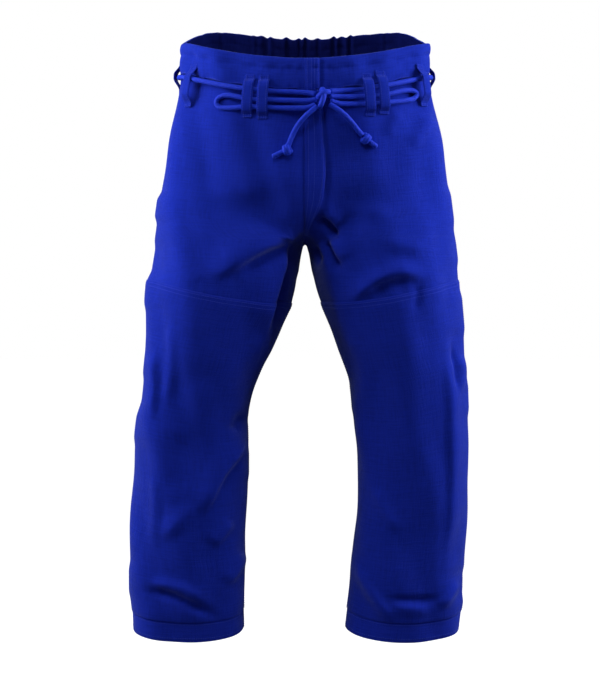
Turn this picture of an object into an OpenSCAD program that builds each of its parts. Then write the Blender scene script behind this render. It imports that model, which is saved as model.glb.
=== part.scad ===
// Training trousers of a martial arts uniform, shaped as they are worn: cloth panels, a
// waistband with elastic at the back, knee patches, hems, belt loops and a rope drawstring
// tied in a bow. The wearer faces -Y, so the wearer's left is +X and the right is -X.
// Origin: centre of the waist opening, level with the top of the back waistband. +Z is up.
// Heights are given as drops: millimetres below that level.

/* [Overall size] */
// Outseam, from the top of the back waistband to the lowest point of the hems
outseam = 980; // [930:2:1040]
// Drop of the crotch point
rise = 350; // [336:2:362]
// Width across the waist
waist_w = 394; // [340:2:450]
// Depth of the waist opening, front to back
waist_d = 222; // [180:2:260]
// Width across the upper hips
hip_w = 440; // [400:2:500]
// Depth at the upper hips, front to back
hip_d = 240; // [200:2:280]
// Width across the seat, at the crotch point
seat_w = 480; // [440:2:540]

/* [Legs] */
// Depth of one leg at the crotch point
crotch_d = 208; // [180:2:240]
// Width of one leg at the thigh
thigh_w = 230; // [200:2:250]
// Depth of one leg at the thigh
thigh_d = 204; // [170:2:230]
// Width of one leg at the knee
knee_w = 180; // [160:2:200]
// Depth of one leg at the knee
knee_d = 166; // [140:2:190]
// Width of one leg at the shin
shin_w = 179; // [150:1:200]
// Depth of one leg at the shin
shin_d = 144; // [120:2:170]
// Width of one leg at the hem
hem_w = 178; // [150:2:200]
// Depth of one leg at the hem
hem_d = 118; // [90:2:150]
// How far the front of a hem dips below its sides
hem_dip = 20; // [0:2:40]
// Drop of the knee hinge
knee_drop = 580; // [562:2:600]
// Half height of the cloth that folds at the knee
knee_fold = 85; // [80:1:100]
// Drop of the knee patch's top edge at the outer seam
patch_drop = 406; // [400:2:420]
// How much lower the patch's top edge is at the inner seam
patch_slope = 36; // [20:2:44]

/* [Cloth] */
// Thickness of a body panel
cloth_t = 1.6; // [1:0.1:3]
// Thickness of a knee patch
patch_t = 1.2; // [0.8:0.1:2.5]
// Gap left between layers that are sewn on each other
layer_gap = 0.3; // [0.2:0.05:0.5]
// Height of a turned-in hem
hem_h = 32; // [20:1:50]
// Width of the fly placket
placket_w = 28; // [25:1:36]

/* [Waistband] */
// Height of the waistband
band_h = 50; // [40:1:60]
// Thickness of one leaf of the folded waistband
band_t = 1.4; // [1:0.1:2.5]
// Drop of the front top edge at the side seams
side_dip = 28; // [18:1:36]
// Drop of the top edge at the centre front
front_dip = 62; // [50:1:72]
// Drop of the back top edge at its centre, where the elastic draws it in
back_dip = 6; // [4:1:14]
// Width of the elastic in the back casing
elastic_w = 34; // [20:1:40]

/* [Drawstring and belt loops] */
// Diameter of the drawstring rope
rope_d = 8; // [6:0.5:9]
// Width of a belt loop's tape
loop_w = 16; // [10:1:20]
// Height of a belt loop
loop_h = 66; // [62:1:74]
// Thickness of a belt loop's tape
loop_t = 1.4; // [1:0.1:2.5]
// Clearance between the rope and what it passes
rope_gap = 0.5; // [0.3:0.1:1]

/* [Hidden] */

LEFT = 1;
RIGHT = -1;
FRONT = -1;
BACK = 1;
// columns of facets across one panel, from the outer seam to the inner or centre seam
columns = 16;
// rows of facets between the waistband and the groin crease
band_rows = 6;
rope_r = rope_d / 2;
rope_sides = 10;
// height over which the centre seam curves under the crotch
crotch_curve = 112;
// place across a panel from which the arch of the crotch is felt
arch_start = 0.55;
// how far the seat stands further back than the hips stand forward
seat_push = 9;
// slant of the groin crease, rising from the crotch to the outer seam
crease_slope = 0.577;
// height of the cloth that folds at the hip
crease_h = 108;
// columns of a panel that the gusset backs
gusset_columns = 5;
// columns of a back panel that the elastic runs along
elastic_columns = 10;
// the sewn upper end of a belt loop, and where it has risen over the rope, begins to come
// down and lies flat again, as shares of its height
foot = 0.1;
loop_up = 0.24;
loop_down = 0.82;
loop_flat = 0.94;
// how far a belt loop reaches up over the waistband
loop_over_band = 18;
// drops of the low waist, the upper hips, the calf and the middle of the shin
low_waist = 87;
upper_hip = 197;
calf = 672;
mid_shin = 812;
band_out = layer_gap + band_t;

// rows of the hips: drop, half width, half depth in front, half depth behind
HIPS = [
    [0, waist_w / 2, waist_d / 2 - 3, waist_d / 2 + 3],
    [low_waist, waist_w / 2, waist_d / 2 - 3, waist_d / 2 + 5],
    [upper_hip, hip_w / 2, hip_d / 2 - seat_push, hip_d / 2 + seat_push],
    [rise, seat_w / 2, hip_d / 2 - seat_push, hip_d / 2],
];

// rows of a leg: drop, half width, half depth, place from the middle, place from front to back
function leg_rows(side) = [
    [rise, seat_w / 4, crotch_d / 2, seat_w / 4, 0],
    [rise + 70, thigh_w / 2, thigh_d / 2, side == LEFT ? 132 : 131, -2],
    [rise + 150, (thigh_w + knee_w) / 4, (thigh_d + knee_d) / 4, 150, -2],
    [knee_drop, knee_w / 2, knee_d / 2, side == LEFT ? 166 : 172, 0],
    [calf, shin_w / 2, (knee_d + shin_d) / 4, side == LEFT ? 174 : 183, 3],
    [mid_shin, shin_w / 2, shin_d / 2, side == LEFT ? 167 : 185, 6],
    [outseam, hem_w / 2, hem_d / 2, side == LEFT ? 156 : 185, 3],
];

function mix(a, b, t) = a + (b - a) * t;
function clamp01(t) = max(0, min(1, t));
function ease(t) = let (s = clamp01(t)) s * s * (3 - 2 * s);
function unit(v) = v / norm(v);

// value of a table's column at a height, on a smooth curve through its rows
function row_before(rows, x, i = 0) =
    (i >= len(rows) - 2 || x < rows[i + 1][0]) ? i : row_before(rows, x, i + 1);
function slope(rows, i, c) =
    let (a = max(0, i - 1), b = min(len(rows) - 1, i + 1))
    (rows[b][c] - rows[a][c]) / (rows[b][0] - rows[a][0]);
function along(rows, x, c) =
    let (
        i = row_before(rows, x),
        h = rows[i + 1][0] - rows[i][0],
        s = clamp01((x - rows[i][0]) / h),
        start = rows[i][c],
        finish = rows[i + 1][c]
    )
    start + (finish - start) * (3 - 2 * s) * s * s
    + slope(rows, i, c) * h * s * (1 - s) * (1 - s)
    - slope(rows, i + 1, c) * h * s * s * (1 - s);

// the body cloth's outer surface: u runs from the outer seam (0) to the inner seam (1)
function leg_point(side, face, u, d) =
    let (rows = leg_rows(side))
    [
        side * (along(rows, d, 3) + along(rows, d, 1) * cos(180 * u)),
        along(rows, d, 4) + face * along(rows, d, 2) * sin(180 * u),
        -d,
    ];
function hip_point(side, face, u, d) =
    [
        side * along(HIPS, d, 1) * cos(90 * u),
        face * along(HIPS, d, face == FRONT ? 2 : 3) * sin(90 * u),
        -d,
    ];
function upper_leg_point(side, face, u, d) =
    let (half = along(HIPS, d, 1) / 2)
    [side * half * (1 + cos(180 * u)), face * crotch_d / 2 * sin(180 * u), -d];
// how far the leg has joined the hips: a round arch along the centre seam, soft further out
function joined(u, d) =
    let (q = clamp01((rise - d) / crotch_curve))
    mix(ease(q), sqrt(1 - (1 - q) * (1 - q)), ease((u - arch_start) / (1 - arch_start)));
function base(side, face, u, d) =
    d >= rise
        ? leg_point(side, face, u, d)
        : mix(upper_leg_point(side, face, u, d), hip_point(side, face, u, d), joined(u, d));
function outward(side, face, u, d) =
    let (
        across = base(side, face, u + 0.004, d) - base(side, face, u - 0.004, d),
        down = base(side, face, u, d + 1) - base(side, face, u, d - 1)
    )
    unit(cross(across, down)) * -side * face;
function skin(side, face, u, d, off) =
    let (p = base(side, face, u, d) + off * outward(side, face, u, d))
    (u > 0.999 && d <= rise) ? [0, p[1], p[2]] : p;

// edges of the pieces, as drops at each place across a panel
function top_edge(face, u) =
    face == FRONT
        ? mix(side_dip, front_dip, pow(sin(90 * u), 2))
        : mix(side_dip, 0, ease(2 * u)) + back_dip * ease(2 * u - 1);
function band_edge(face, u) = top_edge(face, u) + band_h;
function crease_top(u) = rise - crease_slope * seat_w / 4 * (1 + cos(180 * u));
function crease_bottom(u) = crease_top(u) + crease_h - 8 * cos(90 * u);
function patch_edge(u) = patch_drop + patch_slope * ease(1.4 * u);
function hem_edge(face, u) =
    face == FRONT
        ? outseam - hem_dip * (1 - sin(180 * u))
        : outseam - hem_dip - 4 * sin(180 * u);

// one piece of cloth: a closed shell between two drops and between two distances
// from the body cloth's outer surface
module cloth(side, face, tops, bottoms, near, far, rows, u0 = 0, u1 = 1, across = columns,
    cased = 0, places = []) {
    // the first cased rows lie in the waistband, down to its edge
    function drop(u, i) =
        i < cased
            ? mix(tops(u), band_edge(face, u), i / cased)
            : mix(cased > 0 ? band_edge(face, u) : tops(u), bottoms(u), (i - cased) / (rows - cased));
    flip = side * face < 0;
    count = (rows + 1) * (across + 1);
    points = [
        for (off = [far, near])
        for (i = [0 : rows])
        for (j = [0 : across])
        let (u = len(places) > 0 ? places[j] : mix(u0, u1, j / across))
        skin(side, face, u, drop(u, i), off)
    ];
    function id(layer, i, j) = layer * count + i * (across + 1) + j;
    faces = [
        for (i = [0 : rows - 1])
        for (j = [0 : across - 1])
        each [
            [id(0, i, j), id(0, i, j + 1), id(0, i + 1, j + 1)],
            [id(0, i, j), id(0, i + 1, j + 1), id(0, i + 1, j)],
            [id(1, i, j), id(1, i + 1, j + 1), id(1, i, j + 1)],
            [id(1, i, j), id(1, i + 1, j), id(1, i + 1, j + 1)],
        ],
        for (j = [0 : across - 1])
        each [
            [id(0, 0, j), id(1, 0, j + 1), id(0, 0, j + 1)],
            [id(0, 0, j), id(1, 0, j), id(1, 0, j + 1)],
            [id(0, rows, j), id(0, rows, j + 1), id(1, rows, j + 1)],
            [id(0, rows, j), id(1, rows, j + 1), id(1, rows, j)],
        ],
        for (i = [0 : rows - 1])
        each [
            [id(0, i, 0), id(0, i + 1, 0), id(1, i + 1, 0)],
            [id(0, i, 0), id(1, i + 1, 0), id(1, i, 0)],
            [id(0, i, across), id(1, i + 1, across), id(0, i + 1, across)],
            [id(0, i, across), id(1, i, across), id(1, i + 1, across)],
        ],
    ];
    polyhedron(points, flip ? faces : [for (f = faces) [f[0], f[2], f[1]]]);
}

// the body cloth
// the front panels fill the casing up to its fold, and the back ones leave room for the elastic
function panel_start(face) = layer_gap + band_t + (face == FRONT ? 0 : elastic_w + 3 * layer_gap);
module hip_panel(side, face) {
    cased = face == FRONT ? 2 : 1;
    cloth(side, face, function(u) top_edge(face, u) + panel_start(face), function(u) crease_top(u),
        -cloth_t, 0, cased + band_rows, cased = cased);
}
module groin_panel(side, face) {
    cloth(side, face, function(u) crease_top(u), function(u) crease_bottom(u), -cloth_t, 0, 5);
}
module thigh_panel(side, face) {
    cloth(side, face, function(u) crease_bottom(u), function(u) knee_drop - knee_fold,
        -cloth_t, 0, 4);
}
module knee_panel(side, face) {
    cloth(side, face, function(u) knee_drop - knee_fold, function(u) knee_drop + knee_fold,
        -cloth_t, 0, 4);
}
module shin_panel(side, face) {
    cloth(side, face, function(u) knee_drop + knee_fold, function(u) hem_edge(face, u),
        -cloth_t, 0, 6);
}

// the second layer on the knees
module patch_upper(side) {
    cloth(side, FRONT, function(u) patch_edge(u), function(u) knee_drop - knee_fold,
        layer_gap, layer_gap + patch_t, 2);
}
module patch_bend(side) {
    cloth(side, FRONT, function(u) knee_drop - knee_fold, function(u) knee_drop + knee_fold,
        layer_gap, layer_gap + patch_t, 4);
}
module patch_lower(side) {
    cloth(side, FRONT, function(u) knee_drop + knee_fold,
        function(u) hem_edge(FRONT, u) - hem_h, layer_gap, layer_gap + patch_t, 6);
}

// the turned-in hem lies inside the leg
module hem(side) {
    for (face = [FRONT, BACK])
        cloth(side, face, function(u) hem_edge(face, u) - hem_h, function(u) hem_edge(face, u),
            -2 * cloth_t - layer_gap, -cloth_t - layer_gap, 1);
}

// a second layer inside the crotch, between the groin creases of both legs
module gusset() {
    for (side = [LEFT, RIGHT])
        for (face = [FRONT, BACK])
            cloth(side, face, function(u) crease_top(u), function(u) crease_bottom(u),
                -2 * cloth_t - layer_gap, -cloth_t - layer_gap, 5,
                1 - gusset_columns / columns, 1, gusset_columns);
}

// the placket lies on the wearer's left front panel, beside the centre seam, and it bends
// along the same lines as the panel under it
module placket() {
    start = 1 - placket_w / (hip_w / 2) * 2 / PI;
    cloth(LEFT, FRONT, function(u) band_edge(FRONT, u) + layer_gap, function(u) crease_top(u),
        layer_gap, layer_gap + patch_t, band_rows, across = 2,
        places = [start, 1 - 1 / columns, 1]);
}

// the waistband is a casing: one strip folded over the top edge of the panels
module casing(side, face) {
    flip = side * face < 0;
    inner = -cloth_t - layer_gap;
    fold = band_t;
    // the walls bend where the rows of the panels inside them do
    middle = face == FRONT ? (panel_start(face) + band_h) / 2 : panel_start(face);
    profile = [
        [band_out, band_h], [band_out, middle], [band_out, 0],
        [inner - band_t, 0], [inner - band_t, middle], [inner - band_t, band_h],
        [inner, band_h], [inner, middle], [inner, fold],
        [layer_gap, fold], [layer_gap, middle], [layer_gap, band_h],
    ];
    n = len(profile);
    points = [
        for (j = [0 : columns])
        for (p = profile)
        let (u = j / columns)
        skin(side, face, u, top_edge(face, u) + p[1], p[0])
    ];
    walls = [
        for (j = [0 : columns - 1])
        for (k = [0 : n - 1])
        let (a = j * n + k, b = j * n + (k + 1) % n)
        each [[a, b, b + n], [a, b + n, a + n]]
    ];
    // each end of the casing is five quadrilaterals
    ends = [
        for (e = [0, columns * n])
        for (k = [0 : n / 2 - 2])
        for (f = [[k, k + 1, n - 2 - k], [k, n - 2 - k, n - 1 - k]])
        e == 0 ? [f[0], f[2], f[1]] : [f[0] + e, f[1] + e, f[2] + e]
    ];
    faces = concat(walls, ends);
    polyhedron(points, flip ? [for (f = faces) [f[0], f[2], f[1]]] : faces);
}
module elastic() {
    // the elastic fills the back casing above the panels' top edges
    for (side = [LEFT, RIGHT])
        cloth(side, BACK, function(u) top_edge(BACK, u) + band_t + layer_gap,
            function(u) top_edge(BACK, u) + band_t + layer_gap + elastic_w, -cloth_t, 0, 1, 1 - elastic_columns / columns, 1, elastic_columns);
}

// a belt loop is a strip of tape, sewn flat at both ends and standing over the rope
loop_path = [0, foot, 0.16, 0.2, 0.26, 0.4, 0.6, 0.78, 0.86, 0.9, loop_flat, 1];
function loop_lift(t) =
    ease((t - foot) / (loop_up - foot)) * (1 - ease((t - loop_down) / (loop_flat - loop_down)));
module belt_loop(side, face, u) {
    d0 = band_edge(face, u) - loop_over_band;
    upper = skin(side, face, u, d0, band_out + 2 * layer_gap);
    lower = skin(side, face, u, d0 + loop_h, 2 * layer_gap);
    out = outward(side, face, u, d0 + loop_h / 2);
    width = unit([-out[1], out[0], 0]) * loop_w / 2;
    lift = rope_d + 2 * rope_gap + 1;
    spine = [for (t = loop_path) mix(upper, lower, t) + out * lift * loop_lift(t)];
    points = [
        for (p = spine)
        each [p - width, p + width, p + width + out * loop_t, p - width + out * loop_t]
    ];
    last = 4 * (len(spine) - 1);
    faces = concat(
        [[0, 1, 2], [0, 2, 3], [last, last + 2, last + 1], [last, last + 3, last + 2]],
        [
            for (i = [0 : len(spine) - 2])
            for (k = [0 : 3])
            let (a = 4 * i + k, b = 4 * i + (k + 1) % 4)
            each [[a, a + 4, b + 4], [a, b + 4, b]]
        ]
    );
    polyhedron(points, faces);
}

// a rope is a tube swept along its points
module rope(route) {
    n = len(route);
    aim = [for (i = [0 : n - 1]) unit(route[min(n - 1, i + 1)] - route[max(0, i - 1)])];
    points = [
        for (i = [0 : n - 1])
        let (
            side = unit(cross(aim[i], abs(aim[i][1]) > 0.9 ? [0, 0, 1] : [0, 1, 0])),
            up = cross(side, aim[i])
        )
        for (k = [0 : rope_sides - 1])
        route[i] + rope_r * (side * cos(360 * k / rope_sides) + up * sin(360 * k / rope_sides))
    ];
    ring = [for (k = [0 : rope_sides - 1]) k];
    faces = concat(
        [[for (k = ring) rope_sides - 1 - k], [for (k = ring) (n - 1) * rope_sides + k]],
        [
            for (i = [0 : n - 2])
            for (k = ring)
            let (a = i * rope_sides + k, b = i * rope_sides + (k + 1) % rope_sides)
            each [[a, b, b + rope_sides], [a, b + rope_sides, a + rope_sides]]
        ]
    );
    polyhedron(points, [for (f = faces) [for (k = [len(f) - 1 : -1 : 0]) f[k]]]);
}

// the run round the waist lies just under the waistband, from knot to knot
function run_point(side, face, u) =
    skin(side, face, u, band_edge(face, u) + rope_r + rope_gap, rope_r + rope_gap);
function waist_run() = concat(
    run_end_left,
    [for (i = [12 : -1 : 1]) run_point(LEFT, FRONT, i / columns)],
    [for (i = [0 : columns]) run_point(LEFT, BACK, i / columns)],
    [for (i = [columns - 1 : -1 : 0]) run_point(RIGHT, BACK, i / columns)],
    [for (i = [1 : columns - 2]) run_point(RIGHT, FRONT, i / columns)],
    run_end_right
);

// routes of the bow's loops and tails, from the knot outwards
knot_at = [28, -123, -125];
run_end_right = [[0, -116, -117], [17, -120, -120]];
run_end_left = [[38, -118.5, -115], [56, -110, -113.5]];
bow_right = [
    [18, -122, -128], [2, -120, -130], [-27, -116, -129], [-58, -110, -128], [-84, -104, -127],
    [-104, -99, -122], [-122, -92, -119], [-134, -87, -122], [-139, -86, -130], [-133, -89, -137.5],
    [-118, -95, -139], [-102, -100.5, -138.5], [-84, -104.5, -138], [-58, -110, -139.5],
    [-27, -116, -141], [2, -121, -141], [16, -122, -136],
];
bow_left = [
    [38, -121, -123], [54, -114, -123], [72, -109, -123], [92, -103, -122], [115, -95, -120],
    [136, -86, -115], [155, -75, -110], [169, -65, -109], [176, -60, -114], [170, -66, -122],
    [155, -77, -126], [136, -87, -129], [115, -96, -132], [92, -103, -134], [72, -109, -134],
    [54, -115, -134], [39, -121, -130],
];
tail_right = [
    [19, -127, -139], [8, -129, -148], [-3, -126, -158], [-12, -121, -169], [-19, -118, -182],
    [-24, -118, -194], [-27, -118, -203],
];
tail_left = [
    [37, -127, -136], [49, -128, -143], [61, -125, -152], [73, -117, -164], [82, -112, -175],
    [90, -110, -184],
];
// where each tail's knot sits, and where the cut end beyond it stops
knot_right = [-28, -119, -206];
tip_right = [-51, -117, -217];
knot_left = [94, -109, -188];
tip_left = [112, -105, -201];

module knot(height, radius) {
    // a wrapped turn of rope: a rounded barrel
    round_r = min(radius, height / 2) * 0.6;
    rotate_extrude($fn = 32)
        polygon([
            [0, -height / 2],
            for (a = [-90 : 22.5 : 0]) [radius - round_r + round_r * cos(a),
                -height / 2 + round_r + round_r * sin(a)],
            for (a = [0 : 22.5 : 90]) [radius - round_r + round_r * cos(a),
                height / 2 - round_r + round_r * sin(a)],
            [0, height / 2],
        ]);
}
module bow_knot() {
    translate(knot_at) knot(3.75 * rope_d, 1.5 * rope_d);
}
module tail_knot(at, tip) {
    // the knot stands across the rope, and the cut end sticks out of it
    aim = tip - at;
    translate(at)
        rotate([0, acos(aim[2] / norm(aim)), atan2(aim[1], aim[0])]) {
            knot(2 * rope_d, rope_d);
            translate([0, 0, rope_d]) cylinder(h = norm(aim) - rope_d, r = rope_r, $fn = 24);
        }
}

PANEL = [0.1, 0.17, 0.56];
TRIM = [0.13, 0.2, 0.64];
ROPE = [0.14, 0.22, 0.75];
DARK = [0.04, 0.07, 0.3];

module waistband_back() {
    color(DARK) {
        casing(LEFT, BACK);
        casing(RIGHT, BACK);
    }
}

color(TRIM) casing(RIGHT, FRONT);  // waistband_front_right
color(TRIM) casing(LEFT, FRONT);  // waistband_front_left
waistband_back();
color("white") elastic();  // back_elastic
color(PANEL) hip_panel(RIGHT, FRONT);  // hip_front_right
color(PANEL) hip_panel(LEFT, FRONT);  // hip_front_left
color(PANEL) hip_panel(RIGHT, BACK);  // hip_back_right
color(PANEL) hip_panel(LEFT, BACK);  // hip_back_left
color(PANEL) groin_panel(RIGHT, FRONT);  // groin_front_right
color(PANEL) groin_panel(LEFT, FRONT);  // groin_front_left
color(PANEL) groin_panel(RIGHT, BACK);  // seat_back_right
color(PANEL) groin_panel(LEFT, BACK);  // seat_back_left
color(TRIM) gusset();  // crotch_gusset
color(TRIM) placket();  // fly_placket
color(TRIM) belt_loop(RIGHT, FRONT, 0.796);  // belt_loop_front_right_inner
color(TRIM) belt_loop(RIGHT, FRONT, 0.717);  // belt_loop_front_right_outer
color(TRIM) belt_loop(LEFT, FRONT, 0.685);  // belt_loop_front_left_inner
color(TRIM) belt_loop(LEFT, FRONT, 0.602);  // belt_loop_front_left_outer
color(TRIM) belt_loop(RIGHT, FRONT, 0.28);  // belt_loop_side_right
color(TRIM) belt_loop(LEFT, FRONT, 0.28);  // belt_loop_side_left
color(TRIM) belt_loop(RIGHT, BACK, 0.12);  // belt_loop_hip_right
color(TRIM) belt_loop(LEFT, BACK, 0.12);  // belt_loop_hip_left
color(TRIM) belt_loop(RIGHT, BACK, 0.72);  // belt_loop_back_right
color(TRIM) belt_loop(LEFT, BACK, 0.72);  // belt_loop_back_left
color(ROPE) rope(waist_run());  // drawstring_waist_run
color(ROPE) bow_knot();  // drawstring_bow_knot
color(ROPE) rope(bow_right);  // drawstring_bow_right
color(ROPE) rope(bow_left);  // drawstring_bow_left
color(ROPE) rope(tail_right);  // drawstring_tail_right
color(ROPE) rope(tail_left);  // drawstring_tail_left
color(ROPE) tail_knot(knot_right, tip_right);  // tail_knot_right
color(ROPE) tail_knot(knot_left, tip_left);  // tail_knot_left
color(PANEL) thigh_panel(RIGHT, FRONT);  // thigh_front_right
color(PANEL) thigh_panel(RIGHT, BACK);  // thigh_back_right
color(TRIM) patch_upper(RIGHT);  // knee_patch_upper_right
color(PANEL) knee_panel(RIGHT, FRONT);  // knee_front_right
color(PANEL) knee_panel(RIGHT, BACK);  // knee_back_right
color(TRIM) patch_bend(RIGHT);  // knee_patch_bend_right
color(PANEL) shin_panel(RIGHT, FRONT);  // shin_front_right
color(PANEL) shin_panel(RIGHT, BACK);  // shin_back_right
color(TRIM) patch_lower(RIGHT);  // knee_patch_lower_right
color(TRIM) hem(RIGHT);  // hem_right
color(PANEL) thigh_panel(LEFT, FRONT);  // thigh_front_left
color(PANEL) thigh_panel(LEFT, BACK);  // thigh_back_left
color(TRIM) patch_upper(LEFT);  // knee_patch_upper_left
color(PANEL) knee_panel(LEFT, FRONT);  // knee_front_left
color(PANEL) knee_panel(LEFT, BACK);  // knee_back_left
color(TRIM) patch_bend(LEFT);  // knee_patch_bend_left
color(PANEL) shin_panel(LEFT, FRONT);  // shin_front_left
color(PANEL) shin_panel(LEFT, BACK);  // shin_back_left
color(TRIM) patch_lower(LEFT);  // knee_patch_lower_left
color(TRIM) hem(LEFT);  // hem_left
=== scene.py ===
"""Training trousers of a martial arts uniform: cloth panels, a gathered waistband, knee patches,
turned-in hems, belt loops and a rope drawstring tied in a bow.

Metres throughout. Heights on the cloth are given as drops below the top of the back waistband. The
wearer faces -Y, so the wearer's left is +X and the wearer's right is -X.
"""

import math

import bpy
import numpy as np
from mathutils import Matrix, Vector


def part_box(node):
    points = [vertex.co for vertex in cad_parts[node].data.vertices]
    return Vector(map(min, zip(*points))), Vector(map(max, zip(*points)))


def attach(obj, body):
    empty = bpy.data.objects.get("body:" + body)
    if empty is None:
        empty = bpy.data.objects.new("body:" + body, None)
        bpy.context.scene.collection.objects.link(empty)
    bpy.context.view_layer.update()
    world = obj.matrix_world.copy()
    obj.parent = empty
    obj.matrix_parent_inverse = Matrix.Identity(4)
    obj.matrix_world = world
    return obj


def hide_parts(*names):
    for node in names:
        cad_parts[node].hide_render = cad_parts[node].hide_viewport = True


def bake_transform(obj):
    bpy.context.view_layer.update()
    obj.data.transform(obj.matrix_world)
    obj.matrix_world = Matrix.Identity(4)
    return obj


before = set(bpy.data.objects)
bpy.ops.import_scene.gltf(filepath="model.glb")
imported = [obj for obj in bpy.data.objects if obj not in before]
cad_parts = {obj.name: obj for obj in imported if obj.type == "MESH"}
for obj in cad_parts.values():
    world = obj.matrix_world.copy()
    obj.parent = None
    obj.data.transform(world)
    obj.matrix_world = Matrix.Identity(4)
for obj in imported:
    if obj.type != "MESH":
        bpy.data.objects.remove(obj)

bl_info = {
    "name": "Training trousers",
    "version": (1, 0, 0),
    "blender": (4, 5, 0),
    "location": "View3D > Sidebar > Trousers",
    "description": "Builds the cloth, the rope and the stitching of a pair of training trousers",
    "category": "Object",
}

LEFT, RIGHT = 1, -1
FRONT, BACK = -1, 1
SIDES = {"right": RIGHT, "left": LEFT}
MM = 0.001
TURN = 2 * math.pi

# drop at which the cloth of the upper leg ends and that of the lower leg begins
PANEL_SPLIT = 0.467
# columns of faces across one panel, and the height of one row of them
COLUMNS = 96
ROW_HEIGHT = 0.0042
# gap between two layers of cloth, and how far a thread stands proud of the cloth
LAYER_GAP = 0.0003
THREAD_PROUD = 0.0001
# width across a panel, across a knee patch and across a back panel, for seams set in from an edge
PANEL_WIDTH = 0.33
PATCH_WIDTH = 0.28
SEAT_PANEL_WIDTH = np.pi / 2 * 0.22
# how far a knee patch swells off the leg, and how far in from its edge it reaches that swell
PATCH_SWELL = 0.0011
PATCH_SWELL_REACH = 0.014
# share of the waistband's height, from its top, at which its two rows of stitches run
BAND_SEAMS = (0.34, 0.955)
# distance from the middle of a rope end's knot to the middle of the rope wrapped round it
WRAP_RADIUS = 0.0050


# ---------------------------------------------------------------- sizes and colours that a user sets


def length(name, description, default):
    return bpy.props.FloatProperty(name=name, description=description, default=default, unit="LENGTH")


def colour(name, description, default):
    return bpy.props.FloatVectorProperty(
        name=name, description=description, default=default, subtype="COLOR", size=3, min=0, max=1
    )


class TrouserSizes(bpy.types.PropertyGroup):
    """Sizes of the garment as it is worn"""

    outseam: length("Outseam", "Waistband top to the lowest point of the hems", -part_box("hem_left")[0][2])
    rise: length("Rise", "Drop of the crotch point", 0.350)
    waist_w: length("Waist width", "Width across the waist", 0.394)
    waist_d: length("Waist depth", "Depth of the waist, front to back", 0.222)
    hip_w: length("Hip width", "Width across the upper hips", 0.440)
    hip_d: length("Hip depth", "Depth of the hips, front to back", 0.240)
    seat_w: length("Seat width", "Width across the seat at the crotch point", 0.480)
    crotch_d: length("Crotch depth", "Depth of one leg at the crotch point", 0.208)
    thigh_w: length("Thigh width", "Width of one leg at the thigh", 0.230)
    thigh_d: length("Thigh depth", "Depth of one leg at the thigh", 0.204)
    knee_w: length("Knee width", "Width of one leg at the knee", 0.180)
    knee_d: length("Knee depth", "Depth of one leg at the knee", 0.166)
    shin_w: length("Shin width", "Width of one leg at the shin", 0.179)
    shin_d: length("Shin depth", "Depth of one leg at the shin", 0.144)
    hem_w: length("Hem width", "Width of one leg at the hem", 0.178)
    hem_d: length("Hem depth", "Depth of one leg at the hem", 0.118)
    hem_dip: length("Hem dip", "How far the front of a hem dips", 0.020)
    knee_drop: length("Knee drop", "Drop of the knee hinge", 0.580)
    patch_drop: length("Patch drop", "Drop of a knee patch at the outer seam", 0.406)
    patch_slope: length("Patch slope", "How much lower a patch is at the inner seam", 0.036)
    cloth_t: length("Cloth thickness", "Thickness of a body panel", 0.0016)
    patch_t: length("Patch thickness", "Thickness of a knee patch", 0.0012)
    hem_h: length("Hem height", "Height of a turned-in hem", 0.032)
    band_h: length("Waistband height", "Height of the waistband", 0.050)
    band_t: length("Waistband thickness", "Thickness of one leaf of the waistband", 0.0014)
    side_dip: length("Side dip", "Drop of the front top edge at the side seams", 0.028)
    front_dip: length("Front dip", "Drop of the top edge at the centre front", 0.062)
    back_dip: length("Back dip", "Drop of the top edge at the centre back", 0.006)
    elastic_w: length("Elastic width", "Width of the elastic in the back casing", 0.034)
    rope_d: length("Rope diameter", "Diameter of the drawstring", 0.008)
    loop_w: length("Loop width", "Width of a belt loop's tape", 0.016)
    loop_h: length("Loop height", "Height of a belt loop", 0.066)
    loop_t: length("Loop thickness", "Thickness of a belt loop's tape", 0.0014)


class TrouserFinish(bpy.types.PropertyGroup):
    """Colours, weave and stitching"""

    cloth: colour("Cloth", "Colour of the body cloth", (0.0060, 0.0160, 0.250))
    trim: colour("Trim", "Colour of the waistband and the belt loops", (0.0065, 0.0175, 0.260))
    # a far darker blue for the waistband's inner faces: painted shade inside the waist opening, not a
    # different cloth
    painted_inside_shade: colour("Painted inside shade", "Colour of the inside of the waistband", (0.0022, 0.0040, 0.050))
    rope: colour("Rope", "Colour of the drawstring", (0.0050, 0.024, 0.420))
    thread: colour("Thread", "Colour of the stitching", (0.020, 0.040, 0.380))
    elastic: colour("Elastic", "Colour of the elastic", (0.600, 0.600, 0.580))
    floor: colour("Floor", "Colour of the studio floor", (0.180, 0.180, 0.180))
    weave_pitch: length("Weave pitch", "Distance between neighbouring threads of the cloth", 0.0010)
    stitch_length: length("Stitch length", "Length of one visible stitch", 0.0026)
    stitch_gap: length("Stitch gap", "Cloth left between two stitches", 0.0010)
    stitch_width: length("Stitch width", "Thickness of the thread", 0.0007)


def sizes():
    return bpy.context.scene.trouser_sizes


def finish():
    return bpy.context.scene.trouser_finish


# ---------------------------------------------------------------- the shape of the worn cloth


def mix(a, b, t):
    return a + (b - a) * t


def ease(t):
    s = np.clip(t, 0, 1)
    return s * s * (3 - 2 * s)


def unit(v):
    v = np.asarray(v, float)
    return v / np.linalg.norm(v, axis=-1, keepdims=True)


def hip_rows():
    """Rows of the hips: drop, half width, half depth in front, half depth behind"""
    s = sizes()
    push = 0.009
    return np.array([
        [0, s.waist_w / 2, s.waist_d / 2 - 0.003, s.waist_d / 2 + 0.003],
        [0.087, s.waist_w / 2, s.waist_d / 2 - 0.003, s.waist_d / 2 + 0.005],
        [0.197, s.hip_w / 2, s.hip_d / 2 - push, s.hip_d / 2 + push],
        [s.rise, s.seat_w / 2, s.hip_d / 2 - push, s.hip_d / 2],
    ])


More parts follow.
